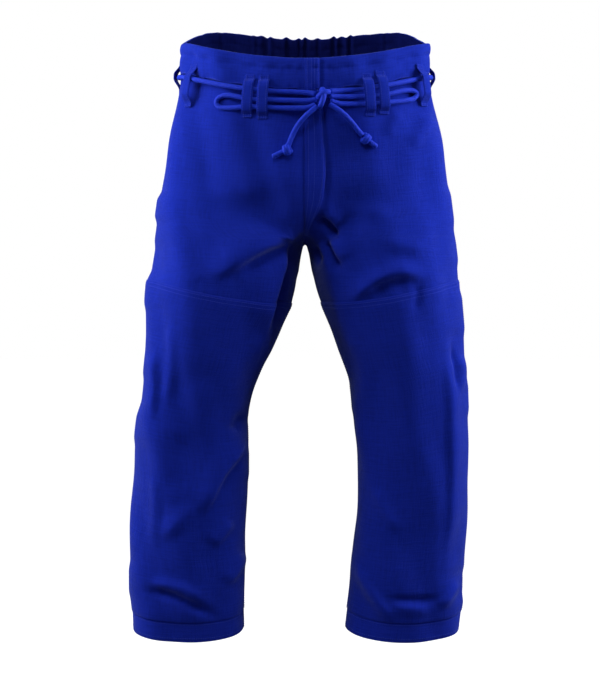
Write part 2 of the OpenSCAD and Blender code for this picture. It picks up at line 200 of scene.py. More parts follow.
def leg_rows(side):
    """Rows of a leg: drop, half width, half depth, place from the middle, place from front to back"""
    s = sizes()
    left = side == LEFT
    return np.array([
        [s.rise, s.seat_w / 4, s.crotch_d / 2, s.seat_w / 4, 0],
        [s.rise + 0.070, s.thigh_w / 2, s.thigh_d / 2, 0.132 if left else 0.131, -0.002],
        [s.rise + 0.150, (s.thigh_w + s.knee_w) / 4, (s.thigh_d + s.knee_d) / 4, 0.150, -0.002],
        [s.knee_drop, s.knee_w / 2, s.knee_d / 2, 0.166 if left else 0.172, 0],
        [0.672, s.shin_w / 2, (s.knee_d + s.shin_d) / 4, 0.174 if left else 0.183, 0.003],
        [0.812, s.shin_w / 2, s.shin_d / 2, 0.167 if left else 0.185, 0.006],
        [s.outseam, s.hem_w / 2, s.hem_d / 2, 0.156 if left else 0.185, 0.003],
    ])


def along(rows, x, column):
    """Value of a table's column at a height, on a smooth curve through its rows"""
    xs, v = rows[:, 0], rows[:, column]
    last = len(xs) - 1
    before = np.maximum(np.arange(last + 1) - 1, 0)
    after = np.minimum(np.arange(last + 1) + 1, last)
    slope = (v[after] - v[before]) / (xs[after] - xs[before])
    i = np.clip(np.searchsorted(xs, x, side="right") - 1, 0, last - 1)
    h = xs[i + 1] - xs[i]
    s = np.clip((x - xs[i]) / h, 0, 1)
    smooth = v[i] + (v[i + 1] - v[i]) * (3 - 2 * s) * s * s
    return smooth + slope[i] * h * s * (1 - s) ** 2 - slope[i + 1] * h * s * s * (1 - s)


def base(side, face, u, d):
    """Smooth outer surface of the cloth: u runs from the outer seam (0) to the inner seam (1)"""
    s = sizes()
    u, d = np.broadcast_arrays(np.asarray(u, float), np.asarray(d, float))
    legs, hips = leg_rows(side), hip_rows()
    a = np.pi * u
    leg = np.stack([
        side * (along(legs, d, 3) + along(legs, d, 1) * np.cos(a)),
        along(legs, d, 4) + face * along(legs, d, 2) * np.sin(a),
        -d,
    ], -1)
    half = along(hips, d, 1) / 2
    upper = np.stack([side * half * (1 + np.cos(a)), face * s.crotch_d / 2 * np.sin(a), -d], -1)
    depth = along(hips, d, 2 if face == FRONT else 3)
    hip = np.stack([side * 2 * half * np.cos(a / 2), face * depth * np.sin(a / 2), -d], -1)
    crotch_curve, arch_start = 0.112, 0.55
    q = np.clip((s.rise - d) / crotch_curve, 0, 1)
    arch = np.sqrt(1 - (1 - q) ** 2)
    joined = mix(ease(q), arch, ease((u - arch_start) / (1 - arch_start)))[..., None]
    return np.where((d >= s.rise)[..., None], leg, upper + (hip - upper) * joined)


def outward(side, face, u, d):
    """Direction out of the cloth's smooth surface"""
    across = base(side, face, np.add(u, 0.004), d) - base(side, face, np.subtract(u, 0.004), d)
    down = base(side, face, u, np.add(d, MM)) - base(side, face, u, np.subtract(d, MM))
    return unit(np.cross(across, down)) * -side * face


def top_edge(face, u):
    s = sizes()
    if face == FRONT:
        return mix(s.side_dip, s.front_dip, np.sin(np.pi / 2 * np.asarray(u)) ** 2)
    return s.side_dip * (1 - ease(2 * np.asarray(u))) + s.back_dip * ease(2 * np.asarray(u) - 1)


def band_edge(face, u):
    return top_edge(face, u) + sizes().band_h


def patch_edge(u):
    s = sizes()
    return s.patch_drop + s.patch_slope * ease(1.4 * np.asarray(u))


def hem_edge(face, u):
    s = sizes()
    wave = np.sin(np.pi * np.asarray(u))
    if face == FRONT:
        return s.outseam - s.hem_dip * (1 - wave)
    return s.outseam - s.hem_dip - 0.004 * wave


# Folds are strokes on the cloth, as a sculptor would draw them: the points of the stroke as (x, z),
# its height (a crease is below 0), and how far it spreads to its left and to its right, looking
# along the stroke from its first point, with +Z up and +X to the right.
FRONT_FOLDS = [
    # long shelf from the crotch over the right thigh, with the cloth tucked in under it
    ([(0.008, -0.314), (-0.022, -0.334), (-0.062, -0.353), (-0.094, -0.372), (-0.117, -0.389),
      (-0.150, -0.402)], 0.0105, 0.009, 0.036),
    ([(-0.010, -0.348), (-0.062, -0.372), (-0.105, -0.398)], -0.0060, 0.014, 0.009),
    # inner right thigh: a standing edge, and the cloth turned away beyond it
    ([(-0.026, -0.335), (-0.034, -0.376), (-0.045, -0.415), (-0.058, -0.456), (-0.068, -0.500)],
     0.0075, 0.006, 0.032),
    ([(-0.014, -0.340), (-0.022, -0.376), (-0.033, -0.415), (-0.046, -0.456), (-0.056, -0.495)],
     -0.0065, 0.016, 0.006),
    # pinched cloth under the crotch on the left
    ([(0.018, -0.312), (0.030, -0.317), (0.040, -0.326), (0.050, -0.342)], -0.0100, 0.006, 0.006),
    ([(0.026, -0.301), (0.042, -0.308), (0.060, -0.322)], 0.0050, 0.012, 0.012),
    ([(0.028, -0.338), (0.034, -0.358), (0.042, -0.376), (0.056, -0.391)], -0.0085, 0.006, 0.007),
    # drag lines on the left hip, below the side belt loop
    ([(0.197, -0.140), (0.184, -0.170), (0.166, -0.203)], 0.0034, 0.010, 0.012),
    ([(0.150, -0.140), (0.136, -0.162), (0.127, -0.186)], 0.0020, 0.010, 0.010),
    # the cloth dips beside the placket's free edge
    ([(0.0245, -0.114), (0.028, -0.160), (0.0325, -0.215), (0.034, -0.250), (0.030, -0.285),
      (0.022, -0.305)], -0.0028, 0.004, 0.003),
    ([(0.0235, -0.036), (0.0235, -0.132)], -0.0022, 0.004, 0.003),
    ([(0.042, -0.336), (0.052, -0.358), (0.066, -0.378)], 0.0045, 0.012, 0.010),
    ([(0.008, -0.352), (0.014, -0.366), (0.024, -0.382)], -0.0050, 0.007, 0.007),
    # soft bands across the left front
    ([(0.045, -0.294), (0.090, -0.300), (0.138, -0.306)], 0.0028, 0.013, 0.013),
    ([(0.120, -0.350), (0.150, -0.354), (0.192, -0.362)], 0.0030, 0.013, 0.013),
    ([(-0.060, -0.262), (-0.110, -0.272), (-0.170, -0.268)], 0.0018, 0.016, 0.016),
    # arch over the left thigh, above the patch
    ([(0.064, -0.444), (0.092, -0.423), (0.117, -0.407), (0.145, -0.397), (0.167, -0.398),
      (0.190, -0.405)], 0.0075, 0.018, 0.008),
    ([(0.100, -0.432), (0.130, -0.414), (0.165, -0.412)], -0.0035, 0.008, 0.016),
    ([(0.180, -0.414), (0.176, -0.436), (0.170, -0.458)], -0.0022, 0.006, 0.006),
    # outer side of the right knee: a standing step and a softer one beside it
    ([(-0.238, -0.512), (-0.236, -0.560), (-0.237, -0.600), (-0.240, -0.630)], 0.0050, 0.006, 0.014),
    ([(-0.212, -0.465), (-0.210, -0.520), (-0.214, -0.575), (-0.222, -0.612)], 0.0030, 0.010, 0.010),
    ([(-0.150, -0.470), (-0.160, -0.530), (-0.168, -0.590)], -0.0026, 0.026, 0.026),
    # diagonals down the right shin
    ([(-0.092, -0.656), (-0.119, -0.691), (-0.137, -0.718), (-0.152, -0.753), (-0.166, -0.782)],
     0.0078, 0.006, 0.022),
    ([(-0.094, -0.616), (-0.106, -0.632), (-0.112, -0.650)], -0.0050, 0.010, 0.010),
    ([(-0.162, -0.756), (-0.196, -0.786), (-0.234, -0.818)], 0.0034, 0.011, 0.016),
    ([(-0.116, -0.784), (-0.132, -0.806), (-0.150, -0.828)], 0.0048, 0.007, 0.016),
    ([(-0.094, -0.840), (-0.110, -0.864), (-0.130, -0.890)], 0.0048, 0.007, 0.016),
    ([(-0.240, -0.700), (-0.236, -0.760), (-0.240, -0.830)], 0.0028, 0.010, 0.010),
    ([(-0.190, -0.640), (-0.196, -0.700), (-0.204, -0.750)], -0.0030, 0.022, 0.022),
    # break above the right hem
    ([(-0.256, -0.899), (-0.220, -0.902), (-0.198, -0.910), (-0.171, -0.923), (-0.138, -0.938)],
     -0.0055, 0.007, 0.007),
    ([(-0.250, -0.886), (-0.215, -0.889), (-0.180, -0.900), (-0.150, -0.916)], 0.0040, 0.010, 0.010),
    # outer side of the left leg: long standing streaks
    ([(0.222, -0.510), (0.228, -0.600), (0.230, -0.700), (0.228, -0.780), (0.222, -0.860)],
     0.0042, 0.014, 0.007),
    ([(0.236, -0.508), (0.238, -0.545), (0.237, -0.585)], -0.0034, 0.004, 0.004),
    ([(0.244, -0.520), (0.247, -0.552), (0.244, -0.584)], 0.0040, 0.007, 0.007),
    ([(0.180, -0.500), (0.186, -0.580), (0.192, -0.680), (0.188, -0.800)], -0.0030, 0.026, 0.026),
    ([(0.096, -0.520), (0.092, -0.600), (0.098, -0.690)], 0.0022, 0.012, 0.012),
    # diagonals down the left shin
    ([(0.078, -0.850), (0.094, -0.876), (0.110, -0.902), (0.128, -0.928), (0.146, -0.952)],
     0.0056, 0.009, 0.012),
    ([(0.112, -0.730), (0.128, -0.770), (0.150, -0.806)], 0.0038, 0.012, 0.009),
    # break above the left hem
    ([(0.130, -0.908), (0.160, -0.911), (0.190, -0.911), (0.214, -0.908)], -0.0044, 0.005, 0.005),
    ([(0.206, -0.924), (0.224, -0.908), (0.246, -0.884)], 0.0040, 0.008, 0.008),
    ([(0.134, -0.922), (0.170, -0.926), (0.200, -0.928)], 0.0028, 0.009, 0.009),
]

# swells and nips of the outlines, felt in front and behind alike
SIDE_FOLDS = [
    ([(-0.230, -0.262), (-0.238, -0.292), (-0.240, -0.318)], 0.0038, 0.030, 0.030),
    ([(-0.238, -0.338), (-0.238, -0.372), (-0.240, -0.406)], -0.0024, 0.030, 0.030),
    ([(-0.244, -0.392), (-0.246, -0.426), (-0.250, -0.460)], 0.0022, 0.026, 0.026),
    ([(-0.258, -0.550), (-0.258, -0.582), (-0.260, -0.614)], -0.0018, 0.026, 0.026),
    ([(-0.262, -0.606), (-0.264, -0.640), (-0.266, -0.674)], 0.0018, 0.026, 0.026),
    ([(-0.277, -0.850), (-0.277, -0.885), (-0.277, -0.920)], 0.0020, 0.026, 0.026),
    ([(0.232, -0.250), (0.236, -0.300), (0.240, -0.330)], 0.0024, 0.032, 0.032),
    ([(0.245, -0.370), (0.245, -0.404), (0.246, -0.438)], -0.0022, 0.028, 0.028),
    ([(0.240, -0.480), (0.240, -0.514), (0.242, -0.548)], -0.0020, 0.028, 0.028),
    ([(0.260, -0.560), (0.260, -0.594), (0.262, -0.628)], 0.0018, 0.028, 0.028),
    ([(0.250, -0.858), (0.250, -0.890), (0.246, -0.922)], -0.0020, 0.026, 0.026),
    ([(-0.006, -0.388), (-0.006, -0.420), (-0.010, -0.452)], -0.0016, 0.022, 0.022),
    ([(-0.092, -0.664), (-0.092, -0.698), (-0.092, -0.732)], 0.0014, 0.024, 0.024),
    ([(0.086, -0.560), (0.086, -0.593), (0.088, -0.626)], 0.0012, 0.024, 0.024),
]

BACK_FOLDS = [
    # drag lines under the seat
    ([(0.012, -0.352), (0.050, -0.360), (0.100, -0.376), (0.150, -0.400)], 0.0070, 0.022, 0.010),
    ([(-0.012, -0.350), (-0.050, -0.358), (-0.104, -0.372), (-0.156, -0.394)], 0.0070, 0.010, 0.022),
    ([(0.030, -0.390), (0.070, -0.404), (0.120, -0.432)], 0.0045, 0.014, 0.009),
    ([(-0.030, -0.392), (-0.074, -0.408), (-0.118, -0.440)], 0.0045, 0.009, 0.014),
    ([(0.020, -0.300), (0.060, -0.318), (0.120, -0.326)], 0.0030, 0.016, 0.016),
    ([(-0.020, -0.304), (-0.066, -0.320), (-0.128, -0.322)], 0.0030, 0.016, 0.016),
    # creases behind the knees
    ([(0.104, -0.566), (0.140, -0.578), (0.180, -0.580), (0.222, -0.570)], -0.0050, 0.010, 0.010),
    ([(0.116, -0.600), (0.156, -0.610), (0.200, -0.606)], 0.0040, 0.012, 0.012),
    ([(0.120, -0.548), (0.160, -0.554), (0.204, -0.548)], 0.0034, 0.012, 0.012),
    ([(-0.108, -0.570), (-0.146, -0.582), (-0.188, -0.582), (-0.228, -0.572)], -0.0050, 0.010, 0.010),
    ([(-0.118, -0.604), (-0.160, -0.613), (-0.206, -0.608)], 0.0040, 0.012, 0.012),
    ([(-0.122, -0.550), (-0.164, -0.557), (-0.208, -0.550)], 0.0034, 0.012, 0.012),
    # long falls down the calves
    ([(0.130, -0.640), (0.140, -0.740), (0.136, -0.860)], 0.0034, 0.014, 0.014),
    ([(0.204, -0.650), (0.198, -0.760), (0.190, -0.880)], 0.0030, 0.014, 0.014),
    ([(-0.146, -0.640), (-0.154, -0.750), (-0.150, -0.870)], 0.0034, 0.014, 0.014),
    ([(-0.220, -0.650), (-0.218, -0.760), (-0.214, -0.880)], 0.0030, 0.014, 0.014),
    # breaks above the hems
    ([(0.110, -0.900), (0.150, -0.912), (0.200, -0.906)], -0.0044, 0.009, 0.009),
    ([(-0.126, -0.906), (-0.176, -0.914), (-0.226, -0.902)], -0.0044, 0.009, 0.009),
]

# slow standing waves of the whole cloth: waves per metre in x, y and z, phase, height
WAVES = [
    (6.1, 3.4, 1.1, 0.4, 0.0011),
    (9.7, -5.2, 1.9, 2.1, 0.0008),
    (-4.2, 8.8, -2.3, 1.2, 0.0010),
    (14.8, 6.1, 3.1, 0.3, 0.0005),
    (3.2, -2.1, 5.4, 2.8, 0.0006),
    (19.0, -11.0, 6.3, 1.9, 0.00025),
    (7.3, 16.0, -9.1, 0.9, 0.00025),
]


def smooth_route(points, spacing):
    """Points at an even spacing on a smooth curve through the given ones"""
    p = np.asarray(points, float)
    ends = np.vstack([2 * p[0] - p[1], p, 2 * p[-1] - p[-2]])
    t = np.linspace(0, 1, 24, endpoint=False)[:, None]
    runs = []
    for a, b, c, d in zip(ends[:-3], ends[1:-2], ends[2:-1], ends[3:]):
        runs.append(0.5 * (2 * b + (c - a) * t + (2 * a - 5 * b + 4 * c - d) * t**2
                           + (3 * b - a - 3 * c + d) * t**3))
    fine = np.vstack(runs + [p[-1:]])
    reach = np.concatenate([[0], np.cumsum(np.linalg.norm(np.diff(fine, axis=0), axis=1))])
    count = max(2, int(round(reach[-1] / spacing)) + 1)
    at = np.linspace(0, reach[-1], count)
    return np.stack([np.interp(at, reach, fine[:, k]) for k in range(p.shape[1])], -1)


# how strongly the folds and the waves stand out
FOLD_STRENGTH = 1.5
WAVE_STRENGTH = 1.7


def strokes(folds, x, z):
    """Height of a list of folds at each place on the cloth"""
    total = np.zeros_like(x)
    for points, height, spread_left, spread_right in folds:
        path = smooth_route(points, 0.010)
        reach = 3 * max(spread_left, spread_right)
        low, high = path.min(0) - reach, path.max(0) + reach
        near = (x > low[0]) & (x < high[0]) & (z > low[1]) & (z < high[1])
        if not near.any():
            continue
        here = np.stack([x[near], z[near]], -1)
        nearest = np.full(len(here), 1e9)
        signed = np.zeros(len(here))
        place = np.zeros(len(here))
        for k, (a, b) in enumerate(zip(path[:-1], path[1:])):
            step = b - a
            t = np.clip((here - a) @ step / (step @ step), 0, 1)
            gap = here - a - t[:, None] * step
            far = np.linalg.norm(gap, axis=1)
            closer = far < nearest
            turn = step[0] * gap[:, 1] - step[1] * gap[:, 0]
            nearest = np.where(closer, far, nearest)
            signed = np.where(closer, np.sign(turn) * far, signed)
            place = np.where(closer, (k + t) / (len(path) - 1), place)
        spread = np.where(signed > 0, spread_left, spread_right)
        taper = ease(place / 0.3) * ease((1 - place) / 0.3)
        profile = np.exp(-((nearest / spread) ** 2))
        total[near] += FOLD_STRENGTH * height * (0.12 + 0.88 * taper) * profile
    return total


def gather_wave(p):
    """The elastic's gathers round the back: -1 in a valley, 1 on a ridge"""
    x = p[..., 0]
    gathered = (1 - ease((np.abs(x - 0.004) - 0.055) / 0.045)) * ease((p[..., 1] - 0.03) / 0.03)
    soft = 0.16 * ease((p[..., 1] - 0.02) / 0.03)
    phase = 340 * x + 1.5 * np.sin(90 * x + 0.5) + 0.8 * np.sin(233 * x + 1.1)
    return (soft + (1 - soft) * gathered) * (np.sin(phase) + 0.5 * np.sin(0.47 * phase + 1.0)) / 1.4


def relief(p):
    """How far the worn cloth stands off its smooth shape at each point of that shape"""
    x, y, z = p[..., 0], p[..., 1], p[..., 2]
    fade = 0.070
    front = ease(0.5 - y / fade)
    total = front * strokes(FRONT_FOLDS, x, z) + (1 - front) * strokes(BACK_FOLDS, x, z)
    total += strokes(SIDE_FOLDS, x, z)
    for kx, ky, kz, phase, height in WAVES:
        total += WAVE_STRENGTH * height * np.sin(TURN * (kx * x + ky * y + kz * z) + phase)
    below = np.clip(-z - 0.055, 0, 1)
    return total + 0.0034 * gather_wave(p) * np.exp(-below / 0.034)


def surface(side, face, u, d, off=0.0):
    """Points of the worn cloth, off its outer face by a distance"""
    u, d = np.broadcast_arrays(np.asarray(u, float), np.asarray(d, float))
    smooth = base(side, face, u, d)
    height = relief(smooth) + off
    p = smooth + height[..., None] * outward(side, face, u, d)
    p[..., 0] = np.where((u > 0.999) & (d <= sizes().rise), 0, p[..., 0])
    return p


# ---------------------------------------------------------------- meshes


def collection():
    return bpy.context.scene.collection


def make_mesh(name, verts, faces, material, uvs=None, sharp=()):
    """A finished object at the origin, shaded smooth"""
    mesh = bpy.data.meshes.new(name)
    mesh.from_pydata(np.asarray(verts).tolist(), [], faces)
    mesh.polygons.foreach_set("use_smooth", [True] * len(mesh.polygons))
    if uvs is not None:
        layer = mesh.uv_layers.new(name="Cloth")
        corner = np.zeros(len(mesh.loops), int)
        mesh.loops.foreach_get("vertex_index", corner)
        layer.data.foreach_set("uv", np.asarray(uvs)[corner].ravel())
    if sharp:
        edges = {frozenset(e) for e in sharp}
        flags = [frozenset(e.vertices) in edges for e in mesh.edges]
        attribute = mesh.attributes.new("sharp_edge", "BOOLEAN", "EDGE")
        attribute.data.foreach_set("value", flags)
    mesh.materials.append(material)
    mesh.validate()
    piece = bpy.data.objects.new(name, mesh)
    collection().objects.link(piece)
    return piece


def facing_out(outer, inner):
    """True if rows down and columns across turn counter-clockwise as seen from outside"""
    i, j = outer.shape[0] // 2, outer.shape[1] // 2
    i, j = min(i, outer.shape[0] - 2), min(j, outer.shape[1] - 2)
    down = outer[i + 1, j] - outer[i, j]
    across = outer[i, j + 1] - outer[i, j]
    return np.dot(np.cross(down, across), outer[i, j] - inner[i, j]) > 0


def shell(name, outer, inner, material, uv, round_edges=(True, True, True, True)):
    """A closed sheet between two grids of points. Its edges (top, bottom, first, last) are rounded
    or, where it meets another piece flush, cut square."""
    rows, columns = outer.shape[0], outer.shape[1]
    count = rows * columns
    verts = [outer.reshape(-1, 3), inner.reshape(-1, 3)]
    uvs = [uv.reshape(-1, 2), uv.reshape(-1, 2)]
    index = np.arange(count).reshape(rows, columns)
    flip = not facing_out(outer, inner)
    a, b, c, d = index[:-1, :-1], index[1:, :-1], index[1:, 1:], index[:-1, 1:]
    front = np.stack([a, b, c, d], -1).reshape(-1, 4)
    back = np.stack([a, d, c, b], -1).reshape(-1, 4) + count
    faces = [front, back]
    ring = np.concatenate([
        index[0, :], index[1:, -1], index[-1, -2::-1], index[-2:0:-1, 0],
    ])
    beyond = np.concatenate([
        outer[0] * 2 - outer[1],
        (outer[:, -1] * 2 - outer[:, -2])[1:],
        (outer[-1] * 2 - outer[-2])[-2::-1],
        (outer[:, 0] * 2 - outer[:, 1])[-2:0:-1],
    ])
    rounded = np.concatenate([
        np.full(columns, round_edges[0]), np.full(rows - 1, round_edges[3]),
        np.full(columns - 1, round_edges[1]), np.full(rows - 2, round_edges[2]),
    ]).astype(float)
    o, i = outer.reshape(-1, 3)[ring], inner.reshape(-1, 3)[ring]
    thick = np.linalg.norm(o - i, axis=1, keepdims=True)
    push = unit(beyond - o + 1e-12) * thick * 0.5 * rounded[:, None]
    for t in (0.22, 0.5, 0.78):
        bulge = math.sqrt(1 - (2 * t - 1) ** 2)
        verts.append(mix(o, i, t) + push * bulge)
        uvs.append(uv.reshape(-1, 2)[ring])
    n = len(ring)
    step = np.arange(n)
    after = (step + 1) % n
    lines = [ring] + [2 * count + k * n + step for k in range(3)] + [ring + count]
    for upper, lower in zip(lines[:-1], lines[1:]):
        faces.append(np.stack([upper, upper[after], lower[after], lower], -1))
    faces = np.vstack(faces)
    if flip:
        faces = faces[:, ::-1]
    sharp = [(ring[k], ring[(k + 1) % n]) for k in range(n) if not rounded[k] or not rounded[(k + 1) % n]]
    sharp += [(p + count, q + count) for p, q in sharp]
    return make_mesh(name, np.vstack(verts), faces.tolist(), material, np.vstack(uvs), sharp)


def cloth_uv(points):
    """Distances over the cloth, across and down, in metres"""
    across = np.linalg.norm(np.diff(points, axis=1), axis=2)
    down = np.linalg.norm(np.diff(points, axis=0), axis=2)
    u = np.concatenate([np.zeros((points.shape[0], 1)), np.cumsum(across, axis=1)], axis=1)
    u -= u[:, -1:] * 0.5
    v = np.concatenate([np.zeros((1, points.shape[1])), np.cumsum(down, axis=0)], axis=0)
    middle = v[:, v.shape[1] // 2]
    return np.stack([u, np.broadcast_to(-middle[:, None], u.shape)], -1)


def drops(top, bottom):
    """Heights of the rows between two edges, one column of them for each place across"""
    count = max(2, int(round(float(np.mean(bottom - top)) / ROW_HEIGHT)) + 1)
    t = np.linspace(0, 1, count)[:, None]
    return top[None, :] * (1 - t) + bottom[None, :] * t


def tube(route, radius, rings_apart=0.0010, sides=32):
    """A braided rope swept along a route, with rounded ends, and the points that it follows"""
    braid, strands, pitch = 0.035, 5, 0.012
    path = smooth_route(route, rings_apart)
    tangent = unit(np.gradient(path, axis=0))
    normal = np.zeros_like(path)
    start = np.cross(tangent[0], [0, 0, 1.0])
    if np.linalg.norm(start) < 0.1:
        start = np.cross(tangent[0], [0, 1.0, 0])
    normal[0] = unit(start)
    for k in range(1, len(path)):
        carried = normal[k - 1] - tangent[k] * np.dot(normal[k - 1], tangent[k])
        normal[k] = unit(carried)
    binormal = np.cross(tangent, normal)
    reach = np.concatenate([[0], np.cumsum(np.linalg.norm(np.diff(path, axis=0), axis=1))])
    angle = np.linspace(0, TURN, sides, endpoint=False)
    s = reach[:, None]
    one = np.cos(strands * angle[None, :] + TURN * s / pitch)
    two = np.cos(strands * angle[None, :] - TURN * s / pitch)
    bulge = braid * (np.maximum(one, two) - 0.4)
    end = np.minimum(s, reach[-1] - s)
    cap = np.sqrt(np.clip(1 - (1 - np.clip(end / (0.5 * radius), 0, 1)) ** 2, 0, 1))
    around = radius * (1 + bulge) * (0.35 + 0.65 * cap)
    ring = normal[:, None, :] * np.cos(angle)[None, :, None]
    ring = ring + binormal[:, None, :] * np.sin(angle)[None, :, None]
    points = path[:, None, :] + around[..., None] * ring
    return path, points, reach, angle


def rope_mesh(name, routes, radius, material, **options):
    """One object of one or more ropes"""
    verts, faces, uvs = [], [], []
    first = 0
    for route in routes:
        path, points, reach, angle = tube(route, radius, **options)
        rows, sides = points.shape[:2]
        index = first + np.arange(rows * sides).reshape(rows, sides)
        a, b = index[:-1], index[1:]
        c, d = np.roll(b, -1, axis=1), np.roll(a, -1, axis=1)
        faces += np.stack([a, d, c, b], -1).reshape(-1, 4).tolist()
        faces.append(index[0, ::-1].tolist())
        faces.append(index[-1].tolist())
        verts.append(points.reshape(-1, 3))
        grid = np.stack(np.broadcast_arrays(angle[None, :] * radius, reach[:, None]), -1)
        uvs.append(grid.reshape(-1, 2))
        first += rows * sides
    piece = make_mesh(name, np.vstack(verts), [f[::-1] for f in faces], material, np.vstack(uvs))
    return piece, path


# ---------------------------------------------------------------- shader groups and materials


def node(tree, kind, place=(0, 0), **settings):
    made = tree.nodes.new(kind)
    made.location = place
    for key, value in settings.items():
        setattr(made, key, value)
    return made


def calculate(tree, operation, a, b=None):
    """A math node; each value is a number or a socket"""
    made = node(tree, "ShaderNodeMath", operation=operation)
    for k, value in enumerate((a, b)):
        if value is None:
            continue
        if isinstance(value, (int, float)):
            made.inputs[k].default_value = value
        else:
            tree.links.new(value, made.inputs[k])
    return made.outputs[0]


def new_group(name, inputs, outputs):
    """An empty shader group with named inputs and outputs"""
    tree = bpy.data.node_groups.new(name, "ShaderNodeTree")
    for label, kind, default in inputs:
        socket = tree.interface.new_socket(name=label, in_out="INPUT", socket_type=kind)
        if default is not None:
            socket.default_value = default
    for label, kind in outputs:
        tree.interface.new_socket(name=label, in_out="OUTPUT", socket_type=kind)
    return tree, node(tree, "NodeGroupInput"), node(tree, "NodeGroupOutput")


def stretched_noise(tree, vector, across, down):
    """Noise drawn out along one direction of the cloth"""
    scaled = node(tree, "ShaderNodeVectorMath", operation="MULTIPLY")
    tree.links.new(vector, scaled.inputs[0])
    scaled.inputs[1].default_value = (across, down, 1)
    noise = node(tree, "ShaderNodeTexNoise")
    noise.inputs["Scale"].default_value = 1
    noise.inputs["Detail"].default_value = 2
    tree.links.new(scaled.outputs[0], noise.inputs["Vector"])
    return noise.outputs["Fac"]


def weave_group():
    """Crossing threads: their height, and how light each thread is"""
    if "Weave" in bpy.data.node_groups:
        return bpy.data.node_groups["Weave"]
    tree, entry, leave = new_group(
        "Weave",
        [("Vector", "NodeSocketVector", None), ("Pitch", "NodeSocketFloat", 0.001)],
        [("Height", "NodeSocketFloat"), ("Thread", "NodeSocketFloat")],
    )
    split = node(tree, "ShaderNodeSeparateXYZ")
    tree.links.new(entry.outputs["Vector"], split.inputs[0])
    x = calculate(tree, "DIVIDE", split.outputs["X"], entry.outputs["Pitch"])
    y = calculate(tree, "DIVIDE", split.outputs["Y"], entry.outputs["Pitch"])
    # a twill: each thread passes over two and under one, and each row starts one thread later
    slant = calculate(tree, "ADD", x, y)
    twill = calculate(tree, "SINE", calculate(tree, "MULTIPLY", slant, TURN / 3))
    warp = calculate(tree, "ABSOLUTE", calculate(tree, "SINE", calculate(tree, "MULTIPLY", x, math.pi)))
    weft = calculate(tree, "ABSOLUTE", calculate(tree, "SINE", calculate(tree, "MULTIPLY", y, math.pi)))
    over = calculate(tree, "GREATER_THAN", twill, 0.0)
    threads = node(tree, "ShaderNodeMix", data_type="FLOAT")
    tree.links.new(over, threads.inputs["Factor"])
    tree.links.new(warp, threads.inputs["A"])
    tree.links.new(weft, threads.inputs["B"])
    # thick and thin places run along single threads and along small bundles of them
    slubs = None
    for fine, long in ((900, 45), (330, 24)):
        for across, down in ((fine, long), (long, fine)):
            noise = stretched_noise(tree, entry.outputs["Vector"], across, down)
            slubs = noise if slubs is None else calculate(tree, "ADD", slubs, noise)
    spread = node(tree, "ShaderNodeMapRange")
    spread.inputs["From Min"].default_value = 1.55
    spread.inputs["From Max"].default_value = 2.45
    tree.links.new(slubs, spread.inputs["Value"])
    height = calculate(tree, "ADD", threads.outputs["Result"],
                       calculate(tree, "MULTIPLY", spread.outputs["Result"], 1.6))
    tree.links.new(height, leave.inputs["Height"])
    tree.links.new(spread.outputs["Result"], leave.inputs["Thread"])
    return tree


def wear_group():
    """Soft uneven fading: large clouds, with the ridges of the cloth a little paler"""
    if "Fading" in bpy.data.node_groups:
        return bpy.data.node_groups["Fading"]
    tree, entry, leave = new_group(
        "Fading",
        [("Vector", "NodeSocketVector", None), ("Amount", "NodeSocketFloat", 0.15)],
        [("Factor", "NodeSocketFloat")],
    )
    clouds = node(tree, "ShaderNodeTexNoise")
    clouds.inputs["Scale"].default_value = 14
    clouds.inputs["Detail"].default_value = 4
    tree.links.new(entry.outputs["Vector"], clouds.inputs["Vector"])
    geometry = node(tree, "ShaderNodeNewGeometry")
    ridge = node(tree, "ShaderNodeMapRange")
    ridge.inputs["From Min"].default_value = 0.49
    ridge.inputs["From Max"].default_value = 0.53
    tree.links.new(geometry.outputs["Pointiness"], ridge.inputs["Value"])
    both = calculate(tree, "ADD", calculate(tree, "MULTIPLY", ridge.outputs["Result"], 0.5),
                     clouds.outputs["Fac"])
    tree.links.new(calculate(tree, "MULTIPLY", both, entry.outputs["Amount"]), leave.inputs["Factor"])
    return tree


def new_material(name, colour_value, roughness, specular=0.0):
    material = bpy.data.materials.new(name)
    material.use_nodes = True
    shader = material.node_tree.nodes["Principled BSDF"]
    shader.inputs["Base Color"].default_value = (*colour_value, 1)
    shader.inputs["Roughness"].default_value = roughness
    shader.inputs["Specular IOR Level"].default_value = specular
    return material, material.node_tree, shader


